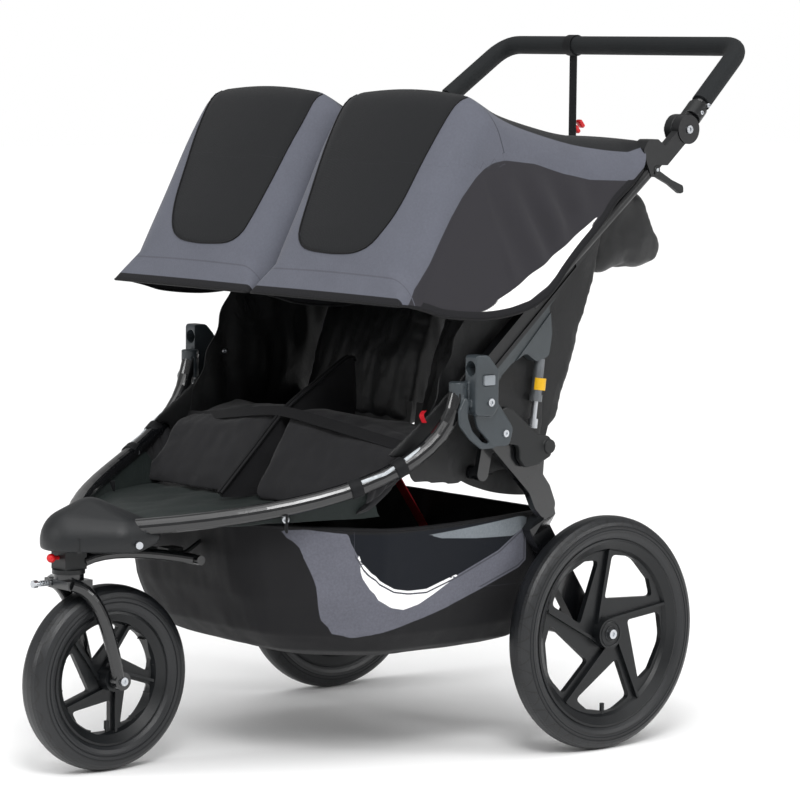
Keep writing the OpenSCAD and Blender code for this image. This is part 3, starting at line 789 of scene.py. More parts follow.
class StageOperator(Builder):
    """Sets the camera, the floor and the soft studio lights"""

    bl_idname = "stroller.stage"
    bl_label = "Stage"

    def build(self):
        chosen = settings("stage")
        scene = bpy.context.scene
        turn, tip, roll = math.radians(49.94), math.radians(5.74), math.radians(0.57)
        ahead = Vector((-math.sin(turn) * math.cos(tip), math.cos(turn) * math.cos(tip),
                        -math.sin(tip)))
        right = Vector((math.cos(turn), math.sin(turn), 0))
        up = right.cross(ahead)
        right, up = (right * math.cos(roll) + up * math.sin(roll),
                     up * math.cos(roll) - right * math.sin(roll))
        clear()
        bpy.ops.object.camera_add()
        camera = bpy.context.object
        camera.name = "main_camera"
        camera.data.lens = chosen.lens
        camera.data.sensor_width = 36
        place = Matrix((right, up, -ahead)).transposed().to_4x4()
        place.translation = at(4608.66, -4022.31, 1180.31)
        camera.matrix_world = place
        camera.data.clip_end = 60
        scene.camera = camera

        clear()
        bpy.ops.mesh.primitive_plane_add(size=60)
        floor = bpy.context.object
        floor.name = "floor"
        material = bpy.data.materials.new("pale floor")
        material.use_nodes = True
        shader = material.node_tree.nodes["Principled BSDF"]
        shader.inputs["Base Color"].default_value = (*chosen.floor_colour, 1)
        shader.inputs["Roughness"].default_value = 0.9
        shader.inputs["Specular IOR Level"].default_value = 0.1
        floor.data.materials.append(material)

        world = scene.world or bpy.data.worlds.new("studio")
        scene.world = world
        world.use_nodes = True
        tree = world.node_tree
        tree.nodes.clear()
        seen, dim = (node(tree, "ShaderNodeBackground") for _ in range(2))
        seen.inputs["Color"].default_value = dim.inputs["Color"].default_value = (1, 1, 1, 1)
        seen.inputs["Strength"].default_value = 1.0
        dim.inputs["Strength"].default_value = 0.42
        rays, both, out = (node(tree, "ShaderNodeLightPath"), node(tree, "ShaderNodeMixShader"),
                           node(tree, "ShaderNodeOutputWorld"))
        tree.links.new(rays.outputs["Is Camera Ray"], both.inputs[0])
        tree.links.new(dim.outputs[0], both.inputs[1])
        tree.links.new(seen.outputs[0], both.inputs[2])
        tree.links.new(both.outputs[0], out.inputs[0])
        clear()
        bpy.ops.object.light_add(type="SUN", rotation=turn_to(Vector((0.3, -0.3, 1))))
        sky = bpy.context.object
        sky.name = "ceiling_light"
        sky.data.energy = 2.45
        sky.data.angle = math.radians(80)
        for name, spot, size, power in (
                ("key_light", (2.8, -2.0, 3.4), 1.2, 70), ("side_light", (3.6, 2.4, 1.8), 0.9, 35),
                ("front_light", (-1.2, -4.0, 1.8), 0.9, 30)):
            clear()
            bpy.ops.object.light_add(type="AREA", location=spot)
            light = bpy.context.object
            light.name = name
            light.data.size = size
            light.data.energy = power
            light.rotation_euler = turn_to(Vector(spot) - Vector((0, 0, 0.6)))
        scene.view_settings.view_transform = "Standard"


class FinishesOperator(Builder):
    """Makes the finishes and puts them on the frame's own nodes"""

    bl_idname = "stroller.finishes"
    bl_label = "Finishes"

    def build(self):
        trim, seat, canopy, basket, wheel = (settings(n) for n in
                                             ("trim", "seat", "canopy", "basket", "wheel"))
        GROUPS.update(cloth=weave_group(), grain=grain_group(), tread=tread_group())
        make = FINISHES
        make["paint"] = finish_of("black frame paint", tuple(trim.frame_colour), 0.24, size=1400,
                                  bump=0.08, coat=0.4, shine=0.5)
        make["arm paint"] = finish_of("satin arm paint", None, 0.42, size=1300, bump=0.2,
                                      coat=0.08, colour_link=web_colour)
        make["grey casting"] = finish_of("painted grey casting", tone("30363a"), 0.42, size=1300,
                                         bump=0.25, coat=0.1)
        make["black plastic"] = finish_of("moulded black plastic", tone("0f1112"), 0.42, size=1000,
                                          bump=0.3)
        make["nose plastic"] = finish_of("matt black plastic", tone("131517"), 0.42, size=1500,
                                         bump=0.35)
        make["rim plastic"] = finish_of("satin rim plastic", tone("0f1113"), 0.36, size=1000,
                                        bump=0.2)
        make["button"] = finish_of("grey button plastic", tone("7a7f84"), 0.4, size=1200, bump=0.2)
        make["steel"] = finish_of("bright steel", tone("b9bcc0"), 0.3, size=1800, bump=0.1,
                                  metallic=1.0)
        make["dark steel"] = finish_of("grey shock metal", tone("6a6d70"), 0.38, size=1600,
                                       bump=0.1, metallic=0.7)
        make["rubber"] = finish_of("tyre rubber", tuple(wheel.rubber_colour), 0.68, size=800,
                                   bump=0.5, vary=0.3)
        make["foam"] = finish_of("foam grip", tone("121517"), 0.8, size=1100, bump=0.8, vary=0.15)
        make["red"] = finish_of("red plastic", tone("c4161c"), 0.35, size=1200, bump=0.1)
        make["yellow"] = finish_of("yellow band", tone("d5a514"), 0.45, size=1500, bump=0.1)
        # Silver cloth for the tube strips: partly reflective trim, partly a painted highlight.
        make["silver cloth"] = finish_of("silver cloth and painted highlight", tone("b4b9bd"), 0.35,
                                         kind="cloth", size=900, creases=0.1, bump=0.2,
                                         metallic=0.35)
        make["pad"] = finish_of("seat cloth", tuple(seat.pad_colour), 0.78, kind="cloth", size=620,
                                creases=0.6, bump=0.45, vary=0.22, sheen=0.25)
        make["glossy cloth"] = finish_of("glossy liner cloth", tone("08090b"), 0.42, kind="cloth",
                                         size=900, creases=1.6, bump=0.6, vary=0.3, sheen=0.1,
                                         shine=0.38)
        make["footwell"] = finish_of("footwell cloth", tone("1d2322"), 0.55, kind="cloth", size=560,
                                     creases=0.9, bump=0.5, vary=0.25, sheen=0.1)
        make["webbing"] = finish_of("black webbing", tone("101113"), 0.6, kind="cloth", size=340,
                                    creases=0.05, bump=0.55, vary=0.25, sheen=0.1)
        make["red webbing"] = finish_of("red webbing", tuple(trim.red_colour), 0.55, kind="cloth",
                                        size=340, creases=0.05, bump=0.5, vary=0.2, sheen=0.15)
        make["binding"] = finish_of("edge binding", tone("0e0e10"), 0.6, kind="cloth", size=420,
                                    creases=0.1, bump=0.5, vary=0.25, sheen=0.1)
        make["hood"] = finish_of(
            "hood cloth", None, 0.74, kind="cloth", size=640, creases=0.35, bump=0.3, vary=0.1,
            sheen=0.2, colour_link=layered(
                tuple(canopy.main_colour), ("area", "side", tuple(canopy.side_colour)),
                ("area", "roof", tone("151618")), ("area", "tongue", tuple(canopy.tongue_colour)),
                ("area", "leaf", tuple(canopy.leaf_colour)), ("line", "bow", tone("3a3b42")),
                ("line", "hem", tone("4b4c54")), ("area", "band", tone("141417"))))
        make["bag"] = finish_of(
            "basket cloth", None, 0.62, kind="cloth", size=560, creases=0.7, bump=0.4, vary=0.16,
            sheen=0.15, colour_link=layered(
                tuple(basket.body_colour), ("area", "swoosh", tuple(basket.swoosh_colour)),
                ("area", "pocket", tone("0b0f16")), ("area", "net", tuple(basket.mesh_colour)),
                ("area", "crescent", tone("f3f3f4")), ("line", "stitch", tone("44454c"))))
        plan = {
            "arm paint": "upper_frame_left upper_frame_right",
            "paint": "frame_tube_left frame_tube_right under_seat_bar rear_crossbar handle_tube "
                     "swing_arm_left swing_arm_right rear_axle_tube fork front_brace "
                     "brake_bracket",
            "grey casting": "hub_left hub_right",
            "black plastic": "release_lever_left release_lever_right handle_knuckles brake_pedal "
                             "head_block brace_clamp rocker_left rocker_right",
            "nose plastic": "nose_cover",
            "rim plastic": "rear_rim_left rear_rim_right front_rim",
            "button": "accessory_button_left accessory_button_right",
            "steel": "frame_bolts handle_pins front_axle tracking_screw spindle_left spindle_right "
                     "shock_rod_left shock_rod_right",
            "dark steel": "shock_body_left shock_body_right",
            "rubber": "rear_tyre_left rear_tyre_right front_tyre",
            "foam": "foam_grip",
            "red": "swivel_lock_knob",
            "webbing": "wrist_strap harness", "red webbing": "fold_strap",
            "pad": "seat_left seat_right seat_divider seat_back_left seat_back_right",
            "footwell": "footwell side_panel_left side_panel_right",
            "glossy cloth": "rear_pocket_left rear_pocket_right",
            "hood": "canopy_left canopy_right", "bag": "basket",
        }
        for finish_name, names in plan.items():
            for name in names.split():
                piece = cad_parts[name]
                if not piece.data.materials:
                    piece.data.materials.append(make[finish_name])
                for slot in piece.material_slots:
                    slot.material = make[finish_name]
        for name, scallops in (("rear_tyre_left", wheel.scallops),
                               ("rear_tyre_right", wheel.scallops),
                               ("front_tyre", wheel.scallops * 0.8)):
            low, high = corners(name)
            skin = tyre_finish(name.replace("_", " ") + " rubber", tuple(wheel.rubber_colour),
                               (low + high) / 2, (high.z - low.z) / 2, scallops)
            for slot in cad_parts[name].material_slots:
                slot.material = skin


FINISHES = {}

HOOD_TOP = [(-480, 776), (-452, 828), (-420, 888), (-388, 950), (-352, 1022), (-318, 1080),
            (-300, 1099), (-286, 1103), (-269, 1096), (-232, 1078), (-179, 1062), (-84, 1042),
            (-7, 1034), (60, 1031), (98, 1030)]
HOOD_HEM = [(-480, 776), (-459, 775), (-417, 765), (-376, 754), (-297, 747), (-230, 751),
            (-180, 762), (-137, 784), (-106, 816), (-75, 847), (-18, 897), (11, 930), (50, 960),
            (76, 985)]
TONGUE = [(47, 384), (44, 330), (52, 250), (60, 190), (72, 120), (84, 96), (110, 82), (160, 77),
          (200, 77), (240, 82), (270, 98), (290, 130), (303, 170), (312, 230), (322, 300),
          (331, 384)]
HOOD_SIDE = [(-459, 776), (-433, 808), (-410, 839), (-387, 877), (-363, 915), (-340, 946),
             (-310, 977), (-290, 992), (-270, 1001), (-244, 1005), (-176, 998), (-112, 981),
             (-49, 970), (90, 965), (90, 900), (-18, 860), (-106, 780), (-180, 720), (-300, 700),
             (-430, 740)]
HOOD_LEAF = [(-306, 757), (-230, 790), (-138, 842), (-88, 874), (-30, 910), (-56, 876),
             (-84, 852), (-116, 822), (-146, 796), (-186, 774), (-232, 763), (-270, 758)]


class CanopiesOperator(Builder):
    """Sews the two hoods: one shaped sheet each, with piping and bindings"""

    bl_idname = "stroller.canopies"
    bl_label = "Hoods"

    def build(self):
        chosen = settings("canopy")
        across, down = 96, 112
        tops = curve_through([(0, y, z) for y, z in HOOD_TOP], down + 1)
        hems = curve_through([(0, y, z) for y, z in HOOD_HEM], down + 1)
        far = [0.0]
        for a, b in zip(tops, tops[1:]):
            far.append(far[-1] + (b - a).length)
        marks = []
        inner = 4.0
        side_end, bow_end, bow_start, side_start = 0.16, 0.26, 0.74, 0.84
        bow_share = 0.1  # of the way across, for each rounded edge

        def shape(u, v):
            k = min(v * down, down - 1e-6)
            i, f = int(k), k - int(k)
            top, hem = tops[i].lerp(tops[i + 1], f), hems[i].lerp(hems[i + 1], f)
            reach = far[i] + (far[i + 1] - far[i]) * f
            rise = top - hem
            high = rise.length
            lift = rise / high if high > 0.5 else Vector((0, 0.3, 0.95))
            outer = table([(0, 388), (330, 377), (far[-1], 368)], reach)[0]
            bend = min(62, high * 0.9)
            width = outer - inner
            if u < side_end:
                x, s = inner, (high - bend) * u / side_end
            elif u < bow_end:
                turn = (u - side_end) / bow_share * math.pi / 2
                x = inner + bend * (1 - math.cos(turn))
                s = high - bend + bend * math.sin(turn)
            elif u < bow_start:
                x, s = inner + bend + (width - 2 * bend) * (u - bow_end) / 0.48, high
            elif u < side_start:
                turn = (u - bow_start) / bow_share * math.pi / 2
                x = outer - bend * (1 - math.sin(turn))
                s = high - bend + bend * math.cos(turn)
            else:
                x, s = outer, (high - bend) * (1 - u) / side_end
            share = max(0.0, min(1.0, (x - inner) / width))
            over = min(1.0, s / max(high, 1)) ** 3
            hump = chosen.crown * 1000 * math.sin(math.pi * share) * over * min(1, reach / 120)
            hump *= 1 - 0.5 * share_of((reach - 400) / 300)
            y, z = hem.y + lift.y * s, hem.z + lift.z * s
            if reach < 380:
                y, z = y - hump * 0.55, z + hump * 0.6
            else:
                z += hump
            # cloth pulled between the bows and down from the strip's corner
            fold = 0.0
            if u > 0.8 and reach > 330:
                part = (reach - 330) / 120
                fold = 5.5 * math.sin(part * 8 + (z - 760) / 42)
                fold *= math.exp(-((part - 1.3) ** 2) / 1.6)
                fold *= share_of((1000 - z) / 80) * share_of(s / 70) ** 2
            if u < 0.2 or u > 0.8:
                x += fold if u > 0.8 else -fold * 0.3
            marks.append((x, reach, y, z, u))
            return at(x, y, z)

        piece = cloth_grid(across, down, shape)
        kept = list(marks)

        def over(u):
            return 0.15 < u < 0.85

        for name, rule in {
            "tongue": lambda x, s, y, z, u: inside((x, s), TONGUE) if over(u) else -60.0,
            "side": lambda x, s, y, z, u: inside((y, z), HOOD_SIDE) if u > 0.74 else -60.0,
            "leaf": lambda x, s, y, z, u: inside((y, z), HOOD_LEAF) if u > 0.8 else -60.0,
            "roof": lambda x, s, y, z, u: min(s - 398 - 10 * math.sin(math.pi * u), 350 - x,
                                              x - 22) if over(u) else -60.0,
            "bow": lambda x, s, y, z, u: s - 396 if z > 1000 else 40.0,
            "hem": lambda x, s, y, z, u: s - 46 if z < 860 and 0.1 < u < 0.9 else 40.0,
            "band": lambda x, s, y, z, u: 13 - s if over(u) else max(
                13 - min(math.hypot(y - a.y, z - a.z) for a in hems), 13 - s),
        }.items():
            store(piece, name, kept, rule)
        area = thicken(piece, chosen.wall)
        # piping round the tongue
        line = []
        for x, s, _ in curve_through([(x, s, 0) for x, s in TONGUE], 60):
            v = table([(d, i / down) for i, d in enumerate(far)], s)[0]
            low, high = 0.14, 0.86
            for _ in range(26):
                mid = (low + high) / 2
                shape(mid, v)
                if marks[-1][0] < x:
                    low = mid
                else:
                    high = mid
            line.append(shape((low + high) / 2, v) + Vector((0, -0.0012, 0.0012)))
        trims = [("hood_piping", tube(line, 1.5))]
        # binding round the hem
        rim = [shape(0, k / 60) for k in range(60, -1, -1)]
        rim += [shape(k / 60, 0) for k in range(1, 61)]
        rim += [shape(1, k / 60) for k in range(1, 61)]
        trims.append(("hood_binding", tube(curve_through(rim, 200), 2.3)))
        for side in ("left", "right"):
            sheet, mates = piece, [trim for _, trim in trims]
            if side == "right":
                sheet, mates = mirrored(piece), [mirrored(trim) for trim in mates]
            finish(sheet, "hood_" + side, None, FINISHES["hood"], "canopy_fabric", 60)
            for (label, _), mate in zip(trims, mates):
                finish(mate, label + "_" + side, None, FINISHES["binding"], "canopy_fabric", 60)
            for thing in [sheet] + mates:
                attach(thing, "canopy_" + side)
                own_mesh(thing)
            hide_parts("canopy_" + side)


BAG_LEVELS = [(174, -330, -330, 0), (176, -440, -210, 150), (180, -480, -160, 225),
              (196, -530, -130, 272), (228, -568, -108, 296), (290, -594, -94, 309),
              (355, -606, -86, 312), (412, -611, -84, 310)]
POCKET_EDGE = [(40, 392), (102, 352), (192, 318), (226, 308), (260, 298), (298, 299),
               (326, 304), (348, 316), (370, 332), (384, 350), (394, 366), (404, 390),
               (408, 402)]
SWOOSH = [(522, 404), (498, 386), (480, 362), (466, 326), (450, 284), (436, 252), (416, 230),
          (380, 222), (342, 230), (282, 246), (210, 266), (138, 290), (56, 318), (40, 330),
          *POCKET_EDGE, (480, 408)]
CRESCENT = [(396, 372), (384, 352), (370, 334), (348, 317), (326, 305), (298, 300), (260, 300),
            (226, 310), (180, 323), (212, 306), (244, 290), (276, 276), (306, 269), (330, 274),
            (352, 288), (370, 306), (386, 332)]
POCKET = [*reversed(POCKET_EDGE), (48, 402), (60, 408)]
NET = [(256, 395), (56, 408), (38, 404), (42, 388), (70, 374), (150, 378), (228, 386)]


class BasketOperator(Builder):
    """Sews the basket as one sagging bag with its curved side bands and net"""

    bl_idname = "stroller.basket"
    bl_label = "Basket"

    def build(self):
        chosen = settings("basket")
        around, up = 300, 64
        marks = []

        foot, rim_height = BAG_LEVELS[0][0], BAG_LEVELS[-1][0]

        def outline(z):
            """The bag's front and sides at a height, and then its back."""
            front, rear, half = table(BAG_LEVELS, z)
            half = max(half, 0.5)
            side = [(1, 0), (1, 0.595), (0.94, 0.72), (0.71, 0.9)]
            ring = [(half * wide, rear + (front - rear) * deep) for wide, deep in side]
            ring += [(half * 0.48, front + 1), (0, front)]
            ring += [(-x, y) for x, y in ring[-2::-1]]
            soft = curve_through([(x, y, 0) for x, y in ring], 60)
            back = [Vector((half - 2 * half * k / 14, rear, 0)) for k in range(13, 0, -1)]
            return soft, back + [Vector((half, rear, 0))]

        rings = {}

        def shape(u, v):
            rise = v * v * (3 - 2 * v) * 0.35 + v * 0.65
            z = foot + (rim_height - foot) * rise ** 1.25
            key = round(z, 4)
            if key not in rings:
                soft, back = outline(z)
                rings[key] = soft + back
            p = along(rings[key], u if u < 1 else 0)
            side = abs(p.x) / 310
            droop = math.sin(math.pi * share_of((-84 - p.y) / 520))
            sag = chosen.sag * 1000 * v ** 6 * droop * side
            depth = 7 * noise.noise(Vector((p.x / 90, p.y / 90, z / 60))) * (1 - v) ** 0.5
            depth += 1.6 * noise.noise(Vector((p.x / 26, p.y / 26, z / 50)))
            out = Vector((p.x, (p.y + 330) * 0.9, 0))
            out = out.normalized() if out.length > 1 else Vector((0, 0, 0))
            q = p + out * depth
            marks.append((q.x, q.y, z))
            return at(max(-310, min(310, q.x)), q.y, z - sag)

        piece = cloth_grid(around, up, shape)
        kept = list(marks)
        ring = outline(340)[0]
        run = [0.0]
        for a, b in zip(ring, ring[1:]):
            run.append(run[-1] + (b - a).length)

        def distance(x, y):
            """How far round the bag from its rear corner, on either side."""
            x = abs(x)
            best = min(range(31), key=lambda i: (ring[i].x - x) ** 2 + (ring[i].y - y) ** 2)
            return run[best] + (ring[best].y - y if best < 22 else ring[best].x - x)

        def on_side(rule):
            return lambda x, y, z: rule(distance(x, y), z) if y < -85 else -50.0

        for name, shape_of in (("swoosh", SWOOSH), ("crescent", CRESCENT), ("pocket", POCKET),
                               ("net", NET)):
            store(piece, name, kept,
                  on_side(lambda a, z, shape_of=shape_of: inside((a, z), shape_of)))
        store(piece, "stitch", kept, on_side(
            lambda a, z: inside((a, z), SWOOSH) - 4 if a < 400 and z > 290 else 40.0))
        outward(piece)
        area = thicken(piece, 0.0018)
        finish(piece, "basket_bag", "lower_frame", FINISHES["bag"], "basket_fabric", 60)
        rim = [shape(k / 200, 0.985) for k in range(200)]
        band = tube(rim, 3.2, closed=True)
        band.data.transform(Matrix.Translation((0, 0, 0.002)))
        finish(band, "basket_binding", "lower_frame", FINISHES["binding"], "basket_fabric", 60)
        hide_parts("basket")


CLOTH = 0.002  # thickness of a single seat cloth, in metres


class SeatsOperator(Builder):
    """Stuffs the seats, backs and pockets, and hangs the footwell and side cloths"""

    bl_idname = "stroller.seats"
    bl_label = "Seats"

    def build(self):
        chosen = settings("seat")
        puff = chosen.puff * 1000
        for node_name, body, swell, coat, slot in (
                ("seat", "lower_frame", puff, "pad", "seat_fabric"),
                ("seat_back", "seat_back_", puff, "glossy cloth", "seat_fabric"),
                ("rear_pocket", "seat_back_", 5, "glossy cloth", "seat_fabric")):
            piece = stuffed(node_name + "_left", 6, chosen.pressure, swell)
            if node_name == "rear_pocket":
                crease(piece, 7, 16, (1, 1, 0.6), 3)
            elif node_name == "seat_back":
                crease(piece, 4, 15, (1.6, 1.6, 0.5), 5)
            else:
                crease(piece, 2.6, 17, (1, 0.8, 1), 5)
                round_corners(piece, 10, 312, 424, 58, -330)
                for vertex in piece.data.vertices:
                    x, y, z = place_of(vertex)
                    share = share_of((-290 - y) / 60) * share_of((z - 424) / 110)
                    vertex.co.z -= 0.036 * (max(x, 0) / 314) ** 1.7 * share
            for side, thing in both_sides(piece):
                where = body + side if body.endswith("_") else body
                finish(thing, node_name + "_cover_" + side, where, FINISHES[coat], slot, 70)
                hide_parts(node_name + "_" + side)
        self.divider()
        self.footwell()
        self.walls()

    def divider(self):
        top = curve_through([(0, -540, 440), (0, -470, 508), (0, -402, 573), (0, -330, 618),
                             (0, -267, 655), (0, -252, 648)], 50)
        foot = curve_through([(0, -536, 434), (0, -480, 432), (0, -380, 450), (0, -300, 500),
                              (0, -252, 556), (0, -250, 600)], 50)

        def shape(u, v):
            a, b = along(top, u), along(foot, u)
            p = a.lerp(b, v)
            lean = 5 * math.sin(v * math.pi) * noise.noise(Vector((p.y / 60, p.z / 60, 2)))
            return at(p.x + lean, p.y, p.z)

        piece = cloth_grid(50, 16, shape)
        area = thicken(piece, 0.006)
        finish(piece, "divider_cloth", "lower_frame", FINISHES["pad"], "seat_fabric", 60)
        for sign in (-1, 1):
            line = [at(sign * 4.5, p.y, p.z + 1) for p in top]
            pipe = tube(line, 3)
            finish(pipe, "divider_piping_" + ("a" if sign < 0 else "b"),
                                "lower_frame", FINISHES["binding"], "seat_fabric", 60)
        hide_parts("seat_divider")
        band = strap([at(-330, -366, 534), at(-240, -392, 541), at(-120, -408, 558),
                      at(0, -411, 571), at(120, -412, 562), at(240, -400, 546),
                      at(331, -388, 533)], 19, 2.6, (0, -0.62, -0.78), 60)
        finish(band, "front_strap", "lower_frame", FINISHES["binding"], "webbing_black", 60)

    def footwell(self):
        rows = sorted((y, x, z) for x, y, z in TUBE_ROUTE)

        def shape(u, v):
            y = -745 + v * 307
            x_tube, z_tube = table(rows, y)
            floor = 418 + 8 * v
            edge = x_tube - 9
            drop = max(z_tube - 3 - floor, 0)
            flat = edge - min(30, drop * 0.5)
            share = abs(u - 0.5) * 2
            if share > 0.6:
                part = (share - 0.6) / 0.4
                x = flat + (edge - flat) * part ** 1.6
                z = floor + drop * part ** 1.4
            else:
                x = flat * share / 0.6
                z = floor + 3 * math.cos(x / 60)
            tuck = share_of((y + 474) / 34)
            x, z = x + (min(x, flat) - x) * tuck, z + (floor - z) * tuck
            z += 5 * noise.noise(Vector((x / 45, y / 70, 1))) * (1 - share ** 4)
            x += 7 * noise.noise(Vector((y / 26, z / 60, 5))) * (share > 0.6) * (1 - share)
            return at(x if u > 0.5 else -x, y, z)

        piece = cloth_grid(90, 56, shape)
        area = thicken(piece, CLOTH)
        finish(piece, "footwell_cloth", "lower_frame", FINISHES["footwell"], "footwell_fabric", 60)
        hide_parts("footwell")

        def gusset(u, v):
            y = -474 + v * 104
            x_tube, z_tube = table(rows, y)
            x = (x_tube - 9) * (1 - u) + 306 * u + 3 * math.sin(u * math.pi) * math.sin(v * 30)
            return at(x, y, z_tube - 2 - 34 * u - 5 * math.sin(u * math.pi))

        gap_cloth = cloth_grid(12, 40, gusset)
        area = thicken(gap_cloth, CLOTH)
        for side, thing in both_sides(gap_cloth):
            finish(thing, "edge_gusset_" + side, "lower_frame", FINISHES["pad"], "seat_fabric", 60)

    def walls(self):
        piece = stuffed("side_panel_left", 4, 0.2, 1)
        for side, thing in both_sides(piece):
            finish(thing, "side_cloth_" + side, "lower_frame", FINISHES["glossy cloth"],
                   "footwell_fabric", 70)
            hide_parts("side_panel_" + side)
        front = curve_through([(0, -376, 528), (0, -362, 564), (0, -330, 640), (0, -290, 727),
                               (0, -262, 790)], 30)
        back = curve_through([(0, -112, 440), (0, -90, 560), (0, -40, 700), (0, 10, 830),
                              (0, 40, 900)], 30)

        def shape(u, v):
            p = along(front, v).lerp(along(back, v), u)
            p.y += 4 * math.sin(v * 24) * (1 - u) ** 3
            x = 319 - 9 * math.sin(math.pi * u) * math.sin(math.pi * v)
            x += 4 * noise.noise(Vector((p.y / 34, p.z / 90, 4)))
            return at(min(x, 322), p.y, p.z - 24 * math.sin(math.pi * u) * (1 - v) ** 3)

        def rear(u, v):
            x = 6 + 308 * u
            y = -150 + 38 * v + 8 * math.sin(math.pi * v)
            y += 4 * noise.noise(Vector((x / 40, v * 2, 8)))
            return at(x, y, 452 + 118 * v)

        lumbar = cloth_grid(40, 16, rear)
        low_area = thicken(lumbar, CLOTH)
        for side, thing in both_sides(lumbar):
            finish(thing, "lumbar_cloth_" + side, "lower_frame", FINISHES["glossy cloth"],
                   "seat_fabric", 60)
        left = cloth_grid(40, 44, shape)
        area = thicken(left, CLOTH)
        for side, thing in both_sides(left):
            finish(thing, "inner_wall_" + side, "lower_frame", FINISHES["glossy cloth"],
                   "seat_fabric", 60)


TUBE_ROUTE = [(368, -339, 601), (356, -359, 556), (346, -386, 536), (338, -430, 509),
              (330, -455, 493), (314, -492, 480), (295, -530, 466), (268, -581, 452),
              (225, -639, 438), (168, -706, 422), (118, -755, 414)]


class TrimOperator(Builder):
    """Adds bolts, snaps, strips and bindings to the frame and the handlebar"""

    bl_idname = "stroller.trim"
    bl_label = "Trim"

    def build(self):
        steel = FINISHES["steel"]
        lean = math.radians(38.5)
        leg = Vector((0, math.cos(lean), math.sin(lean)))

        def on_leg(x, reach):
            return at(x, 189, 1052) + leg * reach / 1000

        for side, sign in (("left", 1), ("right", -1)):
            for k, reach in enumerate((-4, 22, 46, 66)):
                head = bolt(on_leg(sign * (358 if k == 0 else 355), reach), (sign, 0, 0),
                            4.6 if k == 0 else 3.6, 3.2)
                finish(head, "knuckle_bolt_%d_%s" % (k + 1, side), "handlebar", steel, "steel")
            softened("hub_" + side, "lower_frame", "grey casting", "casting_grey", 1.8, 4)
            softened("rocker_" + side, "rear_rocker", "black plastic", "frame_black", 1.4, 3)
            softened("release_lever_" + side, "release_lever_" + side, "black plastic",
                     "plastic_black", 1.1, 4)
            route = [at(sign * x, y, z) for x, y, z in TUBE_ROUTE]
            # Silver strips on the tube's upper outer side, toward the key light: partly reflective
            # trim, partly a painted highlight of the glossy black tube.
            off = Vector((sign * 0.55, -0.35, 0.62)).normalized() * 0.0118
            for k, (start, end) in enumerate(((0.10, 0.235), (0.27, 0.385))):
                line = [along(route, start + (end - start) * i / 24) + off for i in range(25)]
                strip = tube(line, 3.1)
                finish(strip, "reflective_strip_%d_%s" % (k + 1, side), "lower_frame",
                       FINISHES["silver cloth"], "steel")
            for k, share in enumerate((0.253, 0.40)):
                wrap = self.sleeve(route, share, 20, 15.8)
                finish(wrap, "tube_wrap_%d_%s" % (k + 1, side), "lower_frame",
                       FINISHES["webbing"], "webbing_black")
            for k, (x, y, z) in enumerate(((262, -586, 446), (300, -496, 478))):
                snap = bolt(at(sign * (x - 2), y, z), (-sign, 0, 0.3), 5, 2.4)
                finish(snap, "snap_%d_%s" % (k + 1, side), "lower_frame", steel, "steel")
            snap = bolt(at(sign * 316, -292, 645), (-sign, -0.2, 0), 4.5, 2.4)
            finish(snap, "wall_snap_" + side, "lower_frame", steel, "steel")
            stud = bolt(at(sign * 252, -596, 428), (sign * 0.6, -0.8, 0), 6, 4)
            finish(stud, "basket_stud_" + side, "lower_frame", steel, "steel")
            tab = block(at(sign * 250, -594, 424), (30, 4, 34), 1.5, (0, 0, sign * -0.6))
            finish(tab, "basket_tab_" + side, "lower_frame", FINISHES["webbing"], "webbing_black")
            for k, (y, z) in enumerate(((-339, 520), (-226, 512))):
                loop = strap([at(sign * 318, y, z), at(sign * 322, y - 2, z - 16),
                              at(sign * 319, y, z - 31)], 24, 2.4, (0, 1, 0), 10)
                finish(loop, "hanging_tab_%d_%s" % (k + 1, side), "lower_frame",
                       FINISHES["webbing"], "webbing_black")
            down = Vector((0, -0.125, -0.992))
            sticker = disc(at(sign * 338.5, -125.5, 655) + down * 0.016, down, 11.1, 20)
            # only the walls are kept, so the rod slides through the band
            points = [tuple(v.co) for v in sticker.data.vertices]
            walls = [tuple(f.vertices) for f in sticker.data.polygons
                     if abs(f.normal.dot(down)) < 0.9]
            sticker.data.clear_geometry()
            sticker.data.from_pydata(points, [], walls)
            sticker.data.update()
            modify(sticker, "SOLIDIFY", thickness=0.0006, offset=1)
            finish(sticker, "shock_band_" + side, "upper_frame", FINISHES["yellow"], "steel")
        ring = strap([at(322, -366, 596), at(327, -376, 590), at(330, -372, 578)], 8, 2,
                     (0.3, 1, 0), 12)
        finish(ring, "red_tab", "lower_frame", FINISHES["red webbing"], "webbing_red")
        softened("handle_knuckles", "handlebar", "black plastic", "plastic_black", 1.5, 5)
        softened("nose_cover", "lower_frame", "nose plastic", "plastic_black", 2.6, 8, True)
        for k, (y, z) in enumerate(((377, 1040), (388, 1050))):
            clip = block(at(-124, y, z), (14, 8, 17), 3, (0.7, 0, 0))
            finish(clip, "strap_clip_%d" % (k + 1), "handlebar", FINISHES["red"], "plastic_red")

    def sleeve(self, route, share, long, radius):
        """A short flat wrap round the tube."""
        middle, ahead = along(route, share), along(route, share + 0.01)
        direction = (ahead - middle).normalized()
        return disc(middle - direction * long / 2000, direction, radius, long, 1.2)


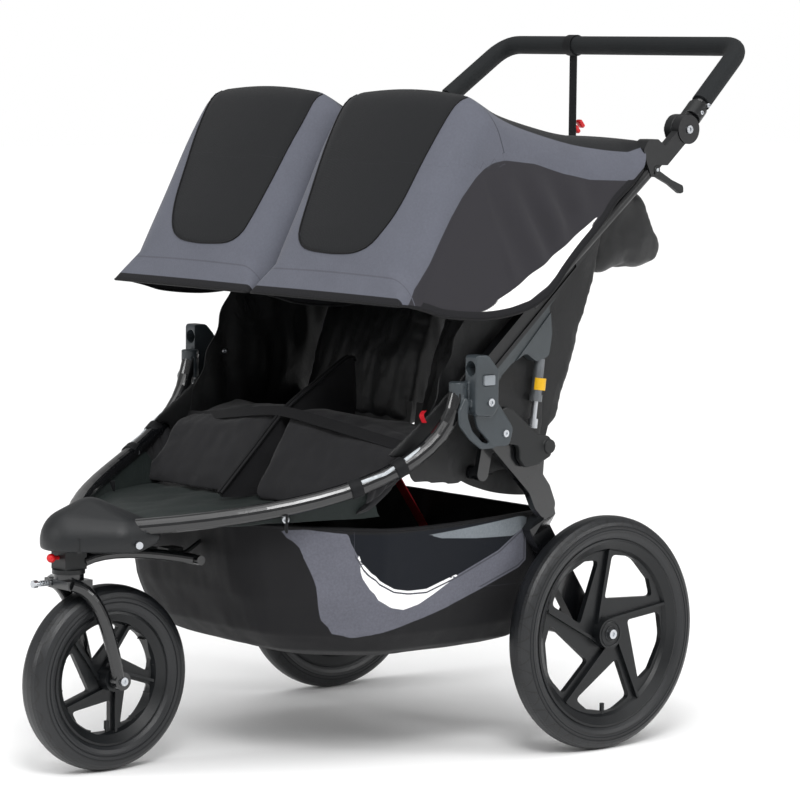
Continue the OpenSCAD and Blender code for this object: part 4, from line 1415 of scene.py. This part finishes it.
class WheelsOperator(Builder):
    """Adds sidewall rings on the tyres, ribs round the rims and rings on the rear hubs"""

    bl_idname = "stroller.wheels"
    bl_label = "Tyres"

    def dress(self, tyre, rim, body, ribs):
        low, high = corners(tyre)
        centre = (low + high) / 2
        radius, half = (high.z - low.z) / 2, (high.x - low.x) / 2
        for sign in (1, -1):
            for k, (out, thick) in enumerate(((0.80, 0.8), (0.30, 1.3), (0.05, 1.0))):
                line = ringed(centre + Vector((sign * half * math.sqrt(1 - out * out), 0, 0)),
                              (1, 0, 0), (radius - half + half * out) * 1000, thick, 96)
                finish(line, "%s_line_%d_%s" % (tyre, k + 1, "out" if sign > 0 else "in"), body,
                       FINISHES["rubber"], "tyre_rubber")
        inner = radius - 2 * half - 0.0035
        clear()
        bpy.ops.mesh.primitive_cube_add(size=1)
        piece = bpy.context.object
        piece.scale = (0.020, 0.0022, 0.006)
        use(piece)
        bpy.ops.object.transform_apply(scale=True)
        modify(piece, "BEVEL", width=0.0006, segments=1)
        piece.data.transform(Matrix.Translation(centre) @ Matrix.Rotation(0.13, 4, "X")
                             @ Matrix.Translation((0, 0, inner)))
        with editing(piece):
            bpy.ops.mesh.spin(steps=ribs, dupli=True, angle=2 * math.pi, center=centre,
                              axis=(1, 0, 0))
            bpy.ops.mesh.select_all(action="SELECT")
            bpy.ops.mesh.normals_make_consistent(inside=False)
        finish(piece, rim + "_ribs", body, FINISHES["rim plastic"], "wheel_black")

    def build(self):
        for side, sign in (("left", 1), ("right", -1)):
            self.dress("rear_tyre_" + side, "rear_rim_" + side, "rear_wheel_" + side, 15)
            low, high = corners("rear_rim_" + side)
            spot = (low + high) / 2
            spot.x = high.x if sign > 0 else low.x
            for radius, thick in ((21, 1.6), (12.5, 1.4)):
                cap = ringed(spot, (1, 0, 0), radius, thick)
                finish(cap, "hub_ring_%d_%s" % (radius, side), "rear_wheel_" + side,
                       FINISHES["rim plastic"], "wheel_black")
        self.dress("front_tyre", "front_rim", "front_wheel", 12)


class StrollerPanel(bpy.types.Panel):
    """Lists the stroller's operators in the sidebar"""

    bl_idname = "STROLLER_PT_pieces"
    bl_label = "Jogging stroller"
    bl_space_type = "VIEW_3D"
    bl_region_type = "UI"
    bl_category = "Stroller"

    def draw(self, context):
        for group in SETTINGS:
            box = self.layout.box()
            for key in SETTINGS[group].__annotations__:
                box.prop(getattr(context.scene, "stroller_" + group), key)
        for kind in OPERATORS:
            self.layout.operator(kind.bl_idname)


OPERATORS = [StageOperator, FinishesOperator, CanopiesOperator, BasketOperator, SeatsOperator,
             TrimOperator, WheelsOperator]


def register():
    for kind in list(SETTINGS.values()) + OPERATORS + [StrollerPanel]:
        bpy.utils.register_class(kind)
    for name, kind in SETTINGS.items():
        setattr(bpy.types.Scene, "stroller_" + name, bpy.props.PointerProperty(type=kind))


def unregister():
    for name in SETTINGS:
        delattr(bpy.types.Scene, "stroller_" + name)
    for kind in [StrollerPanel] + OPERATORS[::-1] + list(SETTINGS.values())[::-1]:
        bpy.utils.unregister_class(kind)


def main():
    register()
    for kind in OPERATORS:
        group, name = kind.bl_idname.split(".")
        getattr(getattr(bpy.ops, group), name)()


if __name__ == "__main__":
    main()
